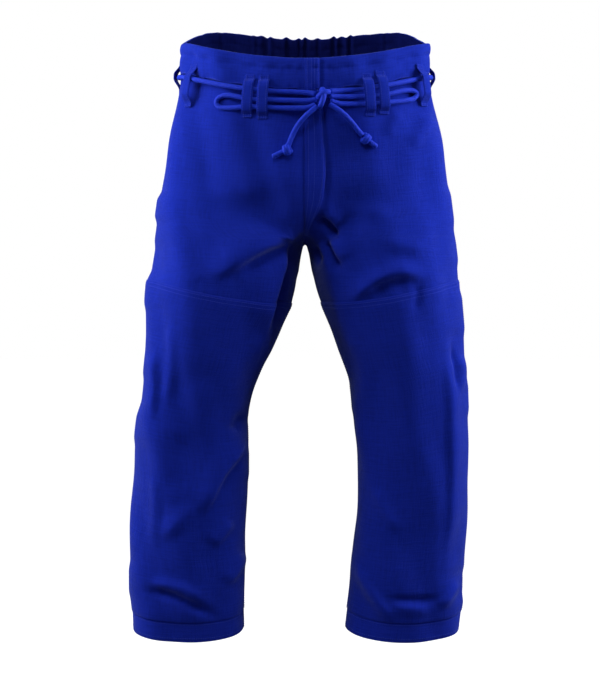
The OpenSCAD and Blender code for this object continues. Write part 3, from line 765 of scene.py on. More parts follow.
def woven(name, colour_value, pitch, depth, sheen):
    """Woven cloth whose threads follow the piece's own cloth map"""
    if name in bpy.data.materials:
        return bpy.data.materials[name]
    fading, roughness = 0.20, 0.92
    material, tree, shader = new_material(name, colour_value, roughness)
    shader.inputs["Sheen Weight"].default_value = sheen
    shader.inputs["Sheen Roughness"].default_value = 0.35
    shader.inputs["Sheen Tint"].default_value = (0.62, 0.74, 1.0, 1)
    uv = node(tree, "ShaderNodeUVMap", (-1200, 0), uv_map="Cloth")
    weave = node(tree, "ShaderNodeGroup", (-900, 0), node_tree=weave_group())
    tree.links.new(uv.outputs["UV"], weave.inputs["Vector"])
    weave.inputs["Pitch"].default_value = pitch
    place = node(tree, "ShaderNodeTexCoord", (-1200, -300))
    fade = node(tree, "ShaderNodeGroup", (-900, -300), node_tree=wear_group())
    tree.links.new(place.outputs["Object"], fade.inputs["Vector"])
    fade.inputs["Amount"].default_value = fading
    dark = tuple(0.80 * c for c in colour_value)
    light = tuple(min(1, 1.20 * c) for c in colour_value)
    threads = node(tree, "ShaderNodeMix", (-500, 0), data_type="RGBA")
    threads.inputs["A"].default_value = (*dark, 1)
    threads.inputs["B"].default_value = (*light, 1)
    tree.links.new(weave.outputs["Thread"], threads.inputs["Factor"])
    faded = node(tree, "ShaderNodeMix", (-250, 0), data_type="RGBA")
    paler = tuple(min(1, 1.5 * c + 0.003) for c in colour_value)
    faded.inputs["B"].default_value = (*paler, 1)
    tree.links.new(threads.outputs["Result"], faded.inputs["A"])
    tree.links.new(fade.outputs["Factor"], faded.inputs["Factor"])
    tree.links.new(faded.outputs["Result"], shader.inputs["Base Color"])
    bump = node(tree, "ShaderNodeBump", (-250, -400))
    bump.inputs["Strength"].default_value = 0.7
    bump.inputs["Distance"].default_value = depth
    tree.links.new(weave.outputs["Height"], bump.inputs["Height"])
    tree.links.new(bump.outputs["Normal"], shader.inputs["Normal"])
    return material


def body_material():
    f = finish()
    return woven("body_weave", f.cloth, f.weave_pitch, 0.00022, 0.17)


def patch_material():
    f = finish()
    return woven("patch_weave", tuple(0.95 * c for c in f.cloth), f.weave_pitch * 1.15, 0.00024, 0.17)


def trim_material():
    f = finish()
    return woven("trim_weave", f.trim, f.weave_pitch * 0.8, 0.00018, 0.12)


def painted_inside_shade_material():
    # the casing's inner faces are coloured far darker than the cloth: painted shade inside the waist
    f = finish()
    return woven("painted_inside_shade_weave", f.painted_inside_shade, f.weave_pitch * 0.8, 0.00018, 0.0)


def rope_material():
    """Rope of fine filaments laid in slanting bundles"""
    if "rope_braid" in bpy.data.materials:
        return bpy.data.materials["rope_braid"]
    f = finish()
    material, tree, shader = new_material("rope_braid", f.rope, 0.62, 0.10)
    shader.inputs["Sheen Weight"].default_value = 0.10
    shader.inputs["Sheen Roughness"].default_value = 0.35
    shader.inputs["Sheen Tint"].default_value = (0.20, 0.30, 1.0, 1)
    uv = node(tree, "ShaderNodeUVMap", (-1200, 0), uv_map="Cloth")
    split = node(tree, "ShaderNodeSeparateXYZ", (-1000, 0))
    tree.links.new(uv.outputs["UV"], split.inputs[0])
    lean = 1.6
    leaning = calculate(tree, "MULTIPLY", split.outputs["Y"], 1 / lean)
    right_lay = calculate(tree, "ADD", split.outputs["X"], leaning)
    left_lay = calculate(tree, "SUBTRACT", split.outputs["X"], leaning)
    bundle = 0.0009
    one = calculate(tree, "SINE", calculate(tree, "MULTIPLY", right_lay, TURN / bundle))
    two = calculate(tree, "SINE", calculate(tree, "MULTIPLY", left_lay, TURN / bundle))
    height = calculate(tree, "MAXIMUM", one, two)
    fuzz = node(tree, "ShaderNodeTexNoise", (-800, -300))
    fuzz.inputs["Scale"].default_value = 1600
    place = node(tree, "ShaderNodeTexCoord", (-1000, -300))
    tree.links.new(place.outputs["Object"], fuzz.inputs["Vector"])
    total = calculate(tree, "ADD", height, fuzz.outputs["Fac"])
    bump = node(tree, "ShaderNodeBump", (-250, -400))
    bump.inputs["Strength"].default_value = 0.6
    bump.inputs["Distance"].default_value = 0.00015
    tree.links.new(total, bump.inputs["Height"])
    tree.links.new(bump.outputs["Normal"], shader.inputs["Normal"])
    # the braid's raised bundles are painted lighter and its valleys darker: painted highlight and painted
    # shade on the braid, with the fuzz noise adding uneven tone
    shade = node(tree, "ShaderNodeMapRange", (-500, 0))
    shade.inputs["From Min"].default_value = -1
    shade.inputs["From Max"].default_value = 2
    tree.links.new(total, shade.inputs["Value"])
    tint = node(tree, "ShaderNodeMix", (-250, 0), data_type="RGBA")
    tint.inputs["A"].default_value = (*(0.70 * c for c in f.rope), 1)
    tint.inputs["B"].default_value = (*(min(1, 1.25 * c) for c in f.rope), 1)
    tree.links.new(shade.outputs["Result"], tint.inputs["Factor"])
    tree.links.new(tint.outputs["Result"], shader.inputs["Base Color"])
    return material


def thread_material():
    """Twisted sewing thread"""
    if "sewing_thread" in bpy.data.materials:
        return bpy.data.materials["sewing_thread"]
    material, tree, shader = new_material("sewing_thread", finish().thread, 0.55, 0.10)
    place = node(tree, "ShaderNodeTexCoord", (-900, 0))
    twist = node(tree, "ShaderNodeTexNoise", (-700, 0))
    twist.inputs["Scale"].default_value = 2200
    tree.links.new(place.outputs["Object"], twist.inputs["Vector"])
    tint = node(tree, "ShaderNodeMix", (-450, 0), data_type="RGBA")
    tint.inputs["A"].default_value = (*(0.75 * c for c in finish().thread), 1)
    tint.inputs["B"].default_value = (*(1.25 * c for c in finish().thread), 1)
    tree.links.new(twist.outputs["Fac"], tint.inputs["Factor"])
    tree.links.new(tint.outputs["Result"], shader.inputs["Base Color"])
    return material


def elastic_material():
    """Ribbed elastic webbing"""
    if "elastic_webbing" in bpy.data.materials:
        return bpy.data.materials["elastic_webbing"]
    material, tree, shader = new_material("elastic_webbing", finish().elastic, 0.8)
    uv = node(tree, "ShaderNodeUVMap", (-900, 0), uv_map="Cloth")
    split = node(tree, "ShaderNodeSeparateXYZ", (-700, 0))
    tree.links.new(uv.outputs["UV"], split.inputs[0])
    rib = 0.0022
    ribs = calculate(tree, "SINE", calculate(tree, "MULTIPLY", split.outputs["Y"], TURN / rib))
    bump = node(tree, "ShaderNodeBump", (-300, -300))
    bump.inputs["Strength"].default_value = 0.8
    bump.inputs["Distance"].default_value = 0.0003
    tree.links.new(ribs, bump.inputs["Height"])
    tree.links.new(bump.outputs["Normal"], shader.inputs["Normal"])
    return material


# ---------------------------------------------------------------- stitches


def stitch_tree():
    """Geometry Nodes: one stitch after another along each line that it is given"""
    if "Stitches" in bpy.data.node_groups:
        return bpy.data.node_groups["Stitches"]
    tree = bpy.data.node_groups.new("Stitches", "GeometryNodeTree")
    face = tree.interface
    face.new_socket(name="Lines", in_out="INPUT", socket_type="NodeSocketGeometry")
    for label in ("Stitch length", "Gap", "Width"):
        face.new_socket(name=label, in_out="INPUT", socket_type="NodeSocketFloat")
    face.new_socket(name="Thread", in_out="INPUT", socket_type="NodeSocketMaterial")
    face.new_socket(name="Stitches", in_out="OUTPUT", socket_type="NodeSocketGeometry")
    entry, leave = node(tree, "NodeGroupInput"), node(tree, "NodeGroupOutput")
    spacing = calculate(tree, "ADD", entry.outputs["Stitch length"], entry.outputs["Gap"])
    places = node(tree, "GeometryNodeResampleCurve")
    places.mode = "LENGTH"
    tree.links.new(entry.outputs["Lines"], places.inputs["Curve"])
    tree.links.new(spacing, places.inputs["Length"])
    bead = node(tree, "GeometryNodeMeshUVSphere")
    bead.inputs["Segments"].default_value = 6
    bead.inputs["Rings"].default_value = 5
    bead.inputs["Radius"].default_value = 0.5
    stretch = node(tree, "ShaderNodeCombineXYZ")
    tree.links.new(entry.outputs["Width"], stretch.inputs["X"])
    tree.links.new(entry.outputs["Width"], stretch.inputs["Y"])
    tree.links.new(entry.outputs["Stitch length"], stretch.inputs["Z"])
    direction = node(tree, "GeometryNodeInputTangent")
    aim = node(tree, "FunctionNodeAlignRotationToVector")
    aim.axis = "Z"
    tree.links.new(direction.outputs[0], aim.inputs["Vector"])
    repeat = node(tree, "GeometryNodeInstanceOnPoints")
    tree.links.new(places.outputs[0], repeat.inputs["Points"])
    tree.links.new(bead.outputs["Mesh"], repeat.inputs["Instance"])
    tree.links.new(aim.outputs[0], repeat.inputs["Rotation"])
    tree.links.new(stretch.outputs[0], repeat.inputs["Scale"])
    real = node(tree, "GeometryNodeRealizeInstances")
    tree.links.new(repeat.outputs[0], real.inputs[0])
    smooth = node(tree, "GeometryNodeSetShadeSmooth")
    tree.links.new(real.outputs[0], smooth.inputs[0])
    paint = node(tree, "GeometryNodeSetMaterial")
    tree.links.new(smooth.outputs[0], paint.inputs["Geometry"])
    tree.links.new(entry.outputs["Thread"], paint.inputs["Material"])
    tree.links.new(paint.outputs[0], leave.inputs[0])
    return tree


def stitches(name, lines):
    """One mesh of stitches along a list of lines"""
    f = finish()
    curve = bpy.data.curves.new(name + "_lines", "CURVE")
    curve.dimensions = "3D"
    for line in lines:
        spline = curve.splines.new("POLY")
        spline.points.add(len(line) - 1)
        flat = np.concatenate([line, np.ones((len(line), 1))], axis=1)
        spline.points.foreach_set("co", flat.ravel())
    guide = bpy.data.objects.new(name + "_guide", curve)
    collection().objects.link(guide)
    modifier = guide.modifiers.new("Stitches", "NODES")
    modifier.node_group = stitch_tree()
    values = {
        "Stitch length": f.stitch_length, "Gap": f.stitch_gap, "Width": f.stitch_width,
        "Thread": thread_material(),
    }
    for item in modifier.node_group.interface.items_tree:
        if item.in_out == "INPUT" and item.name in values:
            modifier[item.identifier] = values[item.name]
    bpy.context.view_layer.update()
    done = guide.evaluated_get(bpy.context.evaluated_depsgraph_get())
    mesh = bpy.data.meshes.new_from_object(done)
    mesh.name = name
    bpy.data.objects.remove(guide)
    piece = bpy.data.objects.new(name, mesh)
    collection().objects.link(piece)
    return piece


# ---------------------------------------------------------------- pieces left where they are built


def follow_hip(piece):
    """Bakes the piece's transform into its mesh; the piece is not made to turn with any body"""
    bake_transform(piece)


def follow_knee(piece):
    """Bakes the piece's transform into its mesh; the piece is not made to turn with any body"""
    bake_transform(piece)


# ---------------------------------------------------------------- pieces


def body_panels():
    """Front and back of each leg, from under the waistband to the hem, each in two pieces"""
    s = sizes()
    u = np.linspace(0, 1, COLUMNS + 1)
    for side_name, side in SIDES.items():
        for face_name, face in (("front", FRONT), ("back", BACK)):
            top = band_edge(face, u) - 0.012
            split = np.full_like(u, PANEL_SPLIT)
            bottom = hem_edge(face, u) - 0.0022
            upper, lower = drops(top, split), drops(split, bottom)
            rows = np.vstack([upper, lower[1:]])
            outer = surface(side, face, u[None, :], rows)
            inner = surface(side, face, u[None, :], rows, -s.cloth_t)
            uv = cloth_uv(outer)
            cut = len(upper)
            name = f"{face_name}_{side_name}"
            thigh = shell(f"upper_leg_{name}", outer[:cut], inner[:cut], body_material(), uv[:cut],
                          (True, False, True, True))
            follow_hip(thigh)
            groin = "groin_front" if face == FRONT else "seat_back"
            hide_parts(f"hip_{name}", f"{groin}_{side_name}", f"thigh_{name}")
            shin = shell(f"lower_leg_{name}", outer[cut - 1:], inner[cut - 1:], body_material(),
                         uv[cut - 1:], (False, True, True, True))
            follow_knee(shin)
            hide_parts(f"knee_{name}", f"shin_{name}")


def knee_patches():
    """The second layer over the front of each leg, from above the knee to the hem"""
    s = sizes()
    gap = LAYER_GAP
    u = np.linspace(0.004, 0.996, COLUMNS + 1)
    for side_name, side in SIDES.items():
        rows = drops(patch_edge(u), hem_edge(FRONT, u) - s.hem_h)
        t = np.linspace(0, 1, len(rows))[:, None]
        edge = np.minimum(t, 1 - t) * (rows[-1] - rows[0]).mean()
        sides = np.minimum(u, 1 - u)[None, :] * PATCH_WIDTH
        puff = PATCH_SWELL * ease(np.minimum(edge, sides) / PATCH_SWELL_REACH)
        outer = surface(side, FRONT, u[None, :], rows, gap + s.patch_t + puff)
        inner = surface(side, FRONT, u[None, :], rows, gap + puff)
        patch = shell(f"knee_patch_{side_name}", outer, inner, patch_material(), cloth_uv(outer))
        follow_knee(patch)
        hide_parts(*(f"knee_patch_{part}_{side_name}" for part in ("upper", "bend", "lower")))


def hems():
    """The cloth's edge turned in at the bottom of each leg, with a round fold under the edge"""
    s = sizes()
    inside = -s.cloth_t - LAYER_GAP
    for side_name, side in SIDES.items():
        around = []
        for face in (FRONT, BACK):
            u = np.linspace(0, 1, COLUMNS + 1)
            # the profile runs down the leaf's outer side, round under the panel's edge and up the
            # leaf's inner side
            low = hem_edge(face, u)
            profile = [
                (inside, -s.hem_h), (inside, -0.016), (inside, -0.0030), (-0.0012, -0.0024),
                (-0.0002, -0.0020), (0.0001, -0.0010), (-0.0004, -0.0003), (-0.0016, 0.0),
                (-0.0028, -0.0005), (inside - s.cloth_t, -0.0020), (inside - s.cloth_t, -0.016),
                (inside - s.cloth_t, -s.hem_h),
            ]
            ring = [surface(side, face, u, low + down, off) for off, down in profile]
            around.append(np.stack(ring, 0))
        loop = np.concatenate([around[0], around[1][:, -2:0:-1]], axis=1)
        count, places = loop.shape[:2]
        index = np.arange(count * places).reshape(count, places)
        a, b = index, np.roll(index, -1, axis=0)
        c, d = np.roll(b, -1, axis=1), np.roll(a, -1, axis=1)
        faces = np.stack([a, b, c, d], -1).reshape(-1, 4)
        middle = loop.reshape(-1, 3).mean(axis=0)
        out = loop[5, places // 4] - middle
        turn = np.cross(loop[6, places // 4] - loop[5, places // 4],
                        loop[5, places // 4 + 1] - loop[5, places // 4])
        if np.dot(turn, out) < 0:
            faces = faces[:, ::-1]
        uv = cloth_uv(loop).reshape(-1, 2)
        hem = make_mesh(f"hem_fold_{side_name}", loop.reshape(-1, 3), faces.tolist(), body_material(), uv)
        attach(hem, f"shin_{side_name}")
        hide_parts(f"hem_{side_name}")


def gusset():
    """The second layer inside the crotch, one half to each leg"""
    s = sizes()
    u = np.linspace(11 / 16, 1, 31)
    inside = -s.cloth_t - LAYER_GAP
    crease = s.rise - 0.577 * s.seat_w / 4 * (1 + np.cos(np.pi * u))
    low = crease + 0.108 - 0.008 * np.cos(np.pi / 2 * u)
    for side_name, side in SIDES.items():
        for face_name, face in (("front", FRONT), ("back", BACK)):
            rows = drops(crease, low)
            outer = surface(side, face, u[None, :], rows, inside)
            inner = surface(side, face, u[None, :], rows, inside - s.cloth_t)
            name = f"gusset_{face_name}_{side_name}"
            piece = shell(name, outer, inner, body_material(), cloth_uv(outer))
            follow_hip(piece)
            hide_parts("crotch_gusset")


def band_puff(t):
    """How far the waistband stands off between its stitched lines: 0 at its top, 1 at its lower edge"""
    channel, foot = BAND_SEAMS
    upper = np.sin(np.pi * np.clip(t / channel, 0, 1)) ** 0.7
    lower = np.sin(np.pi * np.clip((t - channel) / (foot - channel), 0, 1)) ** 0.7
    return 0.0017 * upper + 0.0019 * lower


def band_point(side, face, u, down, off):
    """A point of the waistband: down from its top edge, off from the body cloth's outer face"""
    s = sizes()
    smooth = base(side, face, u, top_edge(face, u) + down)
    wave = gather_wave(smooth)
    pucker = 0.0010 * np.sin(TURN * smooth[..., 0] / 0.027 + 3 * np.sin(30 * smooth[..., 0]))
    t = down / s.band_h
    scallop = 0.0026 * wave * (1 - t)
    hem_wave = 0.0011 * t * np.sin(TURN * smooth[..., 0] / 0.043 + 1.1) * (face == FRONT)
    near_stitch = np.exp(-(((t - 0.34) / 0.10) ** 2)) + np.exp(-(((t - 0.95) / 0.12) ** 2))
    lift = off + pucker * near_stitch * np.sign(off)
    return surface(side, face, u, top_edge(face, u) + down - scallop + hem_wave, lift)


def waistband():
    """A casing folded over the top edge: two front halves and one gathered back"""
    s = sizes()
    gap = LAYER_GAP
    inner = -s.cloth_t - gap
    walls = np.linspace(0, 1, 30)
    for name, parts, nodes in (
        ("waistband_front_right", [(RIGHT, FRONT)], ["waistband_front_right"]),
        ("waistband_front_left", [(LEFT, FRONT)], ["waistband_front_left"]),
        ("waistband_back", [(RIGHT, BACK), (LEFT, BACK)], ["waistband_back"]),
    ):
        columns = 150 if parts[0][1] == FRONT else 320
        u = np.linspace(0, 1, columns + 1)
        runs = []
        for side, face in parts:
            profile = []
            for t in walls[::-1]:
                profile.append((t * (s.band_h - 0.002) + 0.002, gap + s.band_t + band_puff(t)))
            for a in np.linspace(0, np.pi, 7)[1:-1]:
                middle = (gap + s.band_t + inner - s.band_t) / 2
                reach = (gap + s.band_t - inner + s.band_t) / 2
                profile.append((0.002 * (1 - math.sin(a)), middle + reach * math.cos(a)))
            for t in walls:
                profile.append((t * (s.band_h - 0.002) + 0.002, inner - s.band_t - 0.6 * band_puff(t)))
            for t in walls[::-6]:
                profile.append((t * (s.band_h - 0.003) + 0.003, inner))
            for t in walls[::6]:
                profile.append((t * (s.band_h - 0.003) + 0.003, gap))
            runs.append(np.stack([band_point(side, face, u, down, off) for down, off in profile], 0))
        if len(runs) == 2:
            grid = np.concatenate([runs[0], runs[1][:, -2::-1]], axis=1)
        else:
            grid = runs[0]
        count, places = grid.shape[:2]
        index = np.arange(count * places).reshape(count, places)
        a, b = index[:, :-1], np.roll(index, -1, axis=0)[:, :-1]
        c, d = np.roll(index, -1, axis=0)[:, 1:], index[:, 1:]
        faces = np.stack([a, b, c, d], -1).reshape(-1, 4)
        k = 15
        m = places // 2
        turn = np.cross(grid[k + 1, m] - grid[k, m], grid[k, m + 1] - grid[k, m])
        away = grid[k, m] * (1, 1, 0)
        if np.dot(turn, away) < 0:
            faces = faces[:, ::-1]
            caps = [index[:, 0].tolist(), index[::-1, -1].tolist()]
        else:
            caps = [index[::-1, 0].tolist(), index[:, -1].tolist()]
        piece = make_mesh(name + "_casing", grid.reshape(-1, 3), faces.tolist() + caps, trim_material(),
                          cloth_uv(grid).reshape(-1, 2))
        # the inner faces of the casing take the darker material: painted shade inside the waist
        piece.data.materials.append(painted_inside_shade_material())
        inside = np.zeros((count, places - 1), int)
        inside[len(walls) + 4:2 * len(walls) + 5] = 1
        slots = np.concatenate([inside.ravel(), np.zeros(len(caps), int)])
        piece.data.polygons.foreach_set("material_index", slots[:len(piece.data.polygons)])
        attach(piece, "hips")
        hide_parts(*nodes)


def back_elastic():
    """The elastic inside the back casing"""
    s = sizes()
    u = np.linspace(6 / 16, 1, 61)
    start = s.band_t + 0.0010
    for side_name, side in SIDES.items():
        rows = drops(top_edge(BACK, u) + start, top_edge(BACK, u) + start + s.elastic_w)
        outer = surface(side, BACK, u[None, :], rows, -0.0002)
        inner = surface(side, BACK, u[None, :], rows, -s.cloth_t + 0.0002)
        piece = shell(f"elastic_{side_name}", outer, inner, elastic_material(), cloth_uv(outer))
        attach(piece, "hips")
        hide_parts("back_elastic")


def placket_reach(t):
    """Distance of the placket's free edge from the middle: 0 at the waistband, 1 at the crotch"""
    return 0.022 + 0.011 * np.sin(np.pi * np.clip(t, 0, 1) ** 0.9) - 0.014 * ease((t - 0.75) / 0.25)


def fly_placket():
    """The flap over the front opening, with its free edge on the wearer's left"""
    s = sizes()
    gap = LAYER_GAP
    t = np.linspace(0, 1, 70)
    reach = placket_reach(t)
    across = np.linspace(0, 1, 16)
    top = s.front_dip + s.band_h + 0.0005
    drop = mix(top, s.rise - 0.012, t)
    half = along(hip_rows(), drop, 1)
    start = 1 - np.arcsin(np.clip(reach / half, 0, 1)) * 2 / np.pi
    u = start[:, None] * (1 - across[None, :]) + across[None, :]
    d = np.broadcast_to(drop[:, None], u.shape)
    puff = 0.0006 * ease(np.minimum(across, 1 - across) / 0.25)[None, :]
    outer = surface(LEFT, FRONT, u, d, gap + s.patch_t + puff)
    inner = surface(LEFT, FRONT, u, d, gap)
    flap = shell("placket_flap", outer, inner, body_material(), cloth_uv(outer))
    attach(flap, "hips")
    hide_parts("fly_placket")
    down = np.linspace(0.0012, s.band_h - 0.001, 40)
    u = 1 - np.linspace(1, 0, 16) * 0.022 / (s.waist_w / 2) * 2 / np.pi
    t = down / s.band_h
    place, depth = np.broadcast_arrays(u[None, :], down[:, None])
    off = gap + s.band_t + band_puff(t)[:, None]
    outer = band_point(LEFT, FRONT, place, depth, off + 0.0013)
    inner = band_point(LEFT, FRONT, place, depth, off + 0.0002)
    end = shell("placket_band_end", outer, inner, trim_material(), cloth_uv(outer))
    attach(end, "hips")


BELT_LOOPS = {
    "front_right_inner": (RIGHT, FRONT, 0.796),
    "front_right_outer": (RIGHT, FRONT, 0.717),
    "front_left_inner": (LEFT, FRONT, 0.685),
    "front_left_outer": (LEFT, FRONT, 0.602),
    "side_right": (RIGHT, FRONT, 0.28),
    "side_left": (LEFT, FRONT, 0.28),
    "hip_right": (RIGHT, BACK, 0.12),
    "hip_left": (LEFT, BACK, 0.12),
    "back_right": (RIGHT, BACK, 0.72),
    "back_left": (LEFT, BACK, 0.72),
}


def loop_grid(side, face, u, t, across):
    """A belt loop's inner face: t runs down the tape, across from -1 to 1"""
    s = sizes()
    gap = LAYER_GAP
    d0 = band_edge(face, u) - 0.018
    one = np.array([u])
    on_band = np.array([2 * gap + s.band_t + 0.0012])
    upper = band_point(side, face, one, np.array([s.band_h - 0.018]), on_band)[0]
    lower = surface(side, face, one, np.array([d0 + s.loop_h]), np.array([2 * gap]))[0]
    out = outward(side, face, one, np.array([d0 + s.loop_h / 2]))[0]
    width = unit([-out[1], out[0], 0]) * s.loop_w / 2
    lift = s.rope_d + 0.002
    if face == BACK:
        # only the run round the waist passes here, so the tape stands over it and lies flat again
        rise = ease((t - 0.05) / 0.26) * (1 - ease((t - 0.40) / 0.28))
    elif u < 0.5:
        rise = ease((t - 0.05) / 0.28) * (1 - ease((t - 0.70) / 0.26))
    else:
        arch = 1 - np.abs(2 * np.clip((t - 0.05) / 0.90, 0, 1) - 1) ** 4
        rise = arch * ease((t - 0.04) / 0.12) * (1 - ease((t - 0.86) / 0.10))
    spine = upper + (lower - upper) * t[:, None] + out * (lift * rise)[:, None]
    crown = 0.0006 * rise[:, None] * (1 - across[None, :] ** 2)
    return spine[:, None, :] + width * across[None, :, None] + out * crown[..., None], out


def belt_loops():
    """Strips of tape, sewn flat at both ends and standing over the rope"""
    s = sizes()
    t = np.linspace(0, 1, 60)
    across = np.linspace(-1, 1, 15)
    lines = []
    for name, (side, face, u) in BELT_LOOPS.items():
        inner, out = loop_grid(side, face, u, t, across)
        outer = inner + out * s.loop_t
        loop = shell(f"loop_tape_{name}", outer, inner, trim_material(), cloth_uv(outer))
        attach(loop, "hips")
        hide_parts(f"belt_loop_{name}")
        inset = 1 - 0.0022 / (s.loop_w / 2)
        for edge in (-inset, inset):
            column = loop_grid(side, face, u, t, np.array([edge]))[0][:, 0]
            lines.append(column + out * (s.loop_t + THREAD_PROUD))
        span = np.linspace(-inset, inset, 12)
        for place in (0.035, 0.085, 0.945, 0.985):
            row = loop_grid(side, face, u, np.array([place]), span)[0][0]
            lines.append(row + out * (s.loop_t + THREAD_PROUD))
    sewn = stitches("loop_stitches", lines)
    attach(sewn, "hips")


# the drawstring's routes, from the knot outwards
RUN_END_RIGHT = [(0.000, -0.116, -0.117), (0.017, -0.120, -0.120)]
RUN_END_LEFT = [(0.038, -0.1185, -0.115), (0.056, -0.110, -0.1135)]
BOW_RIGHT = [
    (0.018, -0.122, -0.128), (0.002, -0.120, -0.130), (-0.027, -0.116, -0.129),
    (-0.058, -0.110, -0.128), (-0.084, -0.104, -0.127), (-0.104, -0.099, -0.122),
    (-0.122, -0.092, -0.119), (-0.134, -0.087, -0.122), (-0.139, -0.086, -0.130),
    (-0.133, -0.089, -0.1375), (-0.118, -0.095, -0.139), (-0.102, -0.1005, -0.1385),
    (-0.084, -0.1045, -0.138), (-0.058, -0.110, -0.1395), (-0.027, -0.116, -0.141),
    (0.002, -0.121, -0.141), (0.016, -0.122, -0.136),
]
BOW_LEFT = [
    (0.038, -0.121, -0.123), (0.054, -0.114, -0.123), (0.072, -0.109, -0.123),
    (0.092, -0.103, -0.122), (0.115, -0.095, -0.120), (0.136, -0.086, -0.115),
    (0.155, -0.075, -0.110), (0.169, -0.065, -0.109), (0.176, -0.060, -0.114),
    (0.170, -0.066, -0.122), (0.155, -0.077, -0.126), (0.136, -0.087, -0.129),
    (0.115, -0.096, -0.132), (0.092, -0.103, -0.134), (0.072, -0.109, -0.134),
    (0.054, -0.115, -0.134), (0.039, -0.121, -0.130),
]
TAIL_RIGHT = [
    (0.019, -0.127, -0.139), (0.008, -0.129, -0.148), (-0.003, -0.126, -0.158),
    (-0.012, -0.121, -0.169), (-0.019, -0.118, -0.182), (-0.024, -0.118, -0.194),
    (-0.027, -0.118, -0.203),
]
TAIL_LEFT = [
    (0.037, -0.127, -0.136), (0.049, -0.128, -0.143), (0.061, -0.125, -0.152),
    (0.073, -0.117, -0.164), (0.082, -0.112, -0.175), (0.090, -0.110, -0.184),
]
# each tail's knot: where it sits, and where the short end beyond it stops
TAIL_KNOTS = {
    "right": ((-0.028, -0.119, -0.206), (-0.051, -0.117, -0.217)),
    "left": ((0.094, -0.109, -0.188), (0.112, -0.105, -0.201)),
}
# the turns of rope that make the bow's knot
KNOT_TURNS = [
    [(0.025, -0.113, -0.116), (0.027, -0.124, -0.113), (0.029, -0.131, -0.118), (0.028, -0.133, -0.127),
     (0.025, -0.131, -0.136), (0.023, -0.124, -0.140), (0.023, -0.114, -0.138)],
    [(0.034, -0.114, -0.122), (0.036, -0.122, -0.117), (0.034, -0.130, -0.117), (0.028, -0.133, -0.119),
     (0.022, -0.130, -0.123), (0.020, -0.121, -0.126)],
]


def waist_run_route():
    """The run of rope round the waist, just under the waistband"""
    s = sizes()
    out = s.rope_d / 2 + 0.0005

    def place(side, face, steps):
        u = np.array(steps) / 16
        drop = band_edge(face, u) + out
        return base(side, face, u, drop) + out * outward(side, face, u, drop)

    return np.vstack([
        RUN_END_LEFT,
        place(LEFT, FRONT, range(12, 0, -1)),
        place(LEFT, BACK, range(0, 17)),
        place(RIGHT, BACK, range(15, -1, -1)),
        place(RIGHT, FRONT, range(1, 15)),
        RUN_END_RIGHT,
    ])


def wrapped_knot(at, tip, radius):
    """Turns of rope round a tail's end, and the end that sticks out of them"""
    at, tip = np.array(at), np.array(tip)
    aim = unit(tip - at)
    side = unit(np.cross(aim, (0, 1, 0)))
    up = np.cross(side, aim)
    turns, rise = 2.0, 0.0037
    wraps = []
    for k in np.linspace(0, turns, 33):
        angle = TURN * k
        lift = mix(-rise, rise, k / turns)
        wraps.append(at + aim * lift + radius * (side * math.cos(angle) + up * math.sin(angle)))
    return [np.array(wraps), np.array([at - aim * 0.004, mix(at, tip, 0.5), tip])]


def drawstring():
    """The rope: its run round the waist, and the bow with its tails and their knots"""
    s = sizes()
    radius = s.rope_d / 2
    run, _ = rope_mesh("waist_rope", [waist_run_route()], radius, rope_material(),
                       rings_apart=0.0012, sides=28)
    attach(run, "hips")
    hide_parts("drawstring_waist_run")
    knot, _ = rope_mesh("bow_knot", KNOT_TURNS, radius * 1.05, rope_material())
    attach(knot, "hips")
    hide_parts("drawstring_bow_knot")
    for side_name, route in (("right", BOW_RIGHT), ("left", BOW_LEFT)):
        bow, path = rope_mesh(f"bow_loop_{side_name}", [route], radius, rope_material())
        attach(bow, "hips")
        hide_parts(f"drawstring_bow_{side_name}")
    for side_name, route in (("right", TAIL_RIGHT), ("left", TAIL_LEFT)):
        at, tip = TAIL_KNOTS[side_name]
        end, _ = rope_mesh(f"tail_end_{side_name}", wrapped_knot(at, tip, WRAP_RADIUS), radius,
                           rope_material())
        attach(end, "hips")
        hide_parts(f"tail_knot_{side_name}")
        tail, path = rope_mesh(f"tail_{side_name}", [route], radius, rope_material())
        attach(tail, "hips")
        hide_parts(f"drawstring_tail_{side_name}")


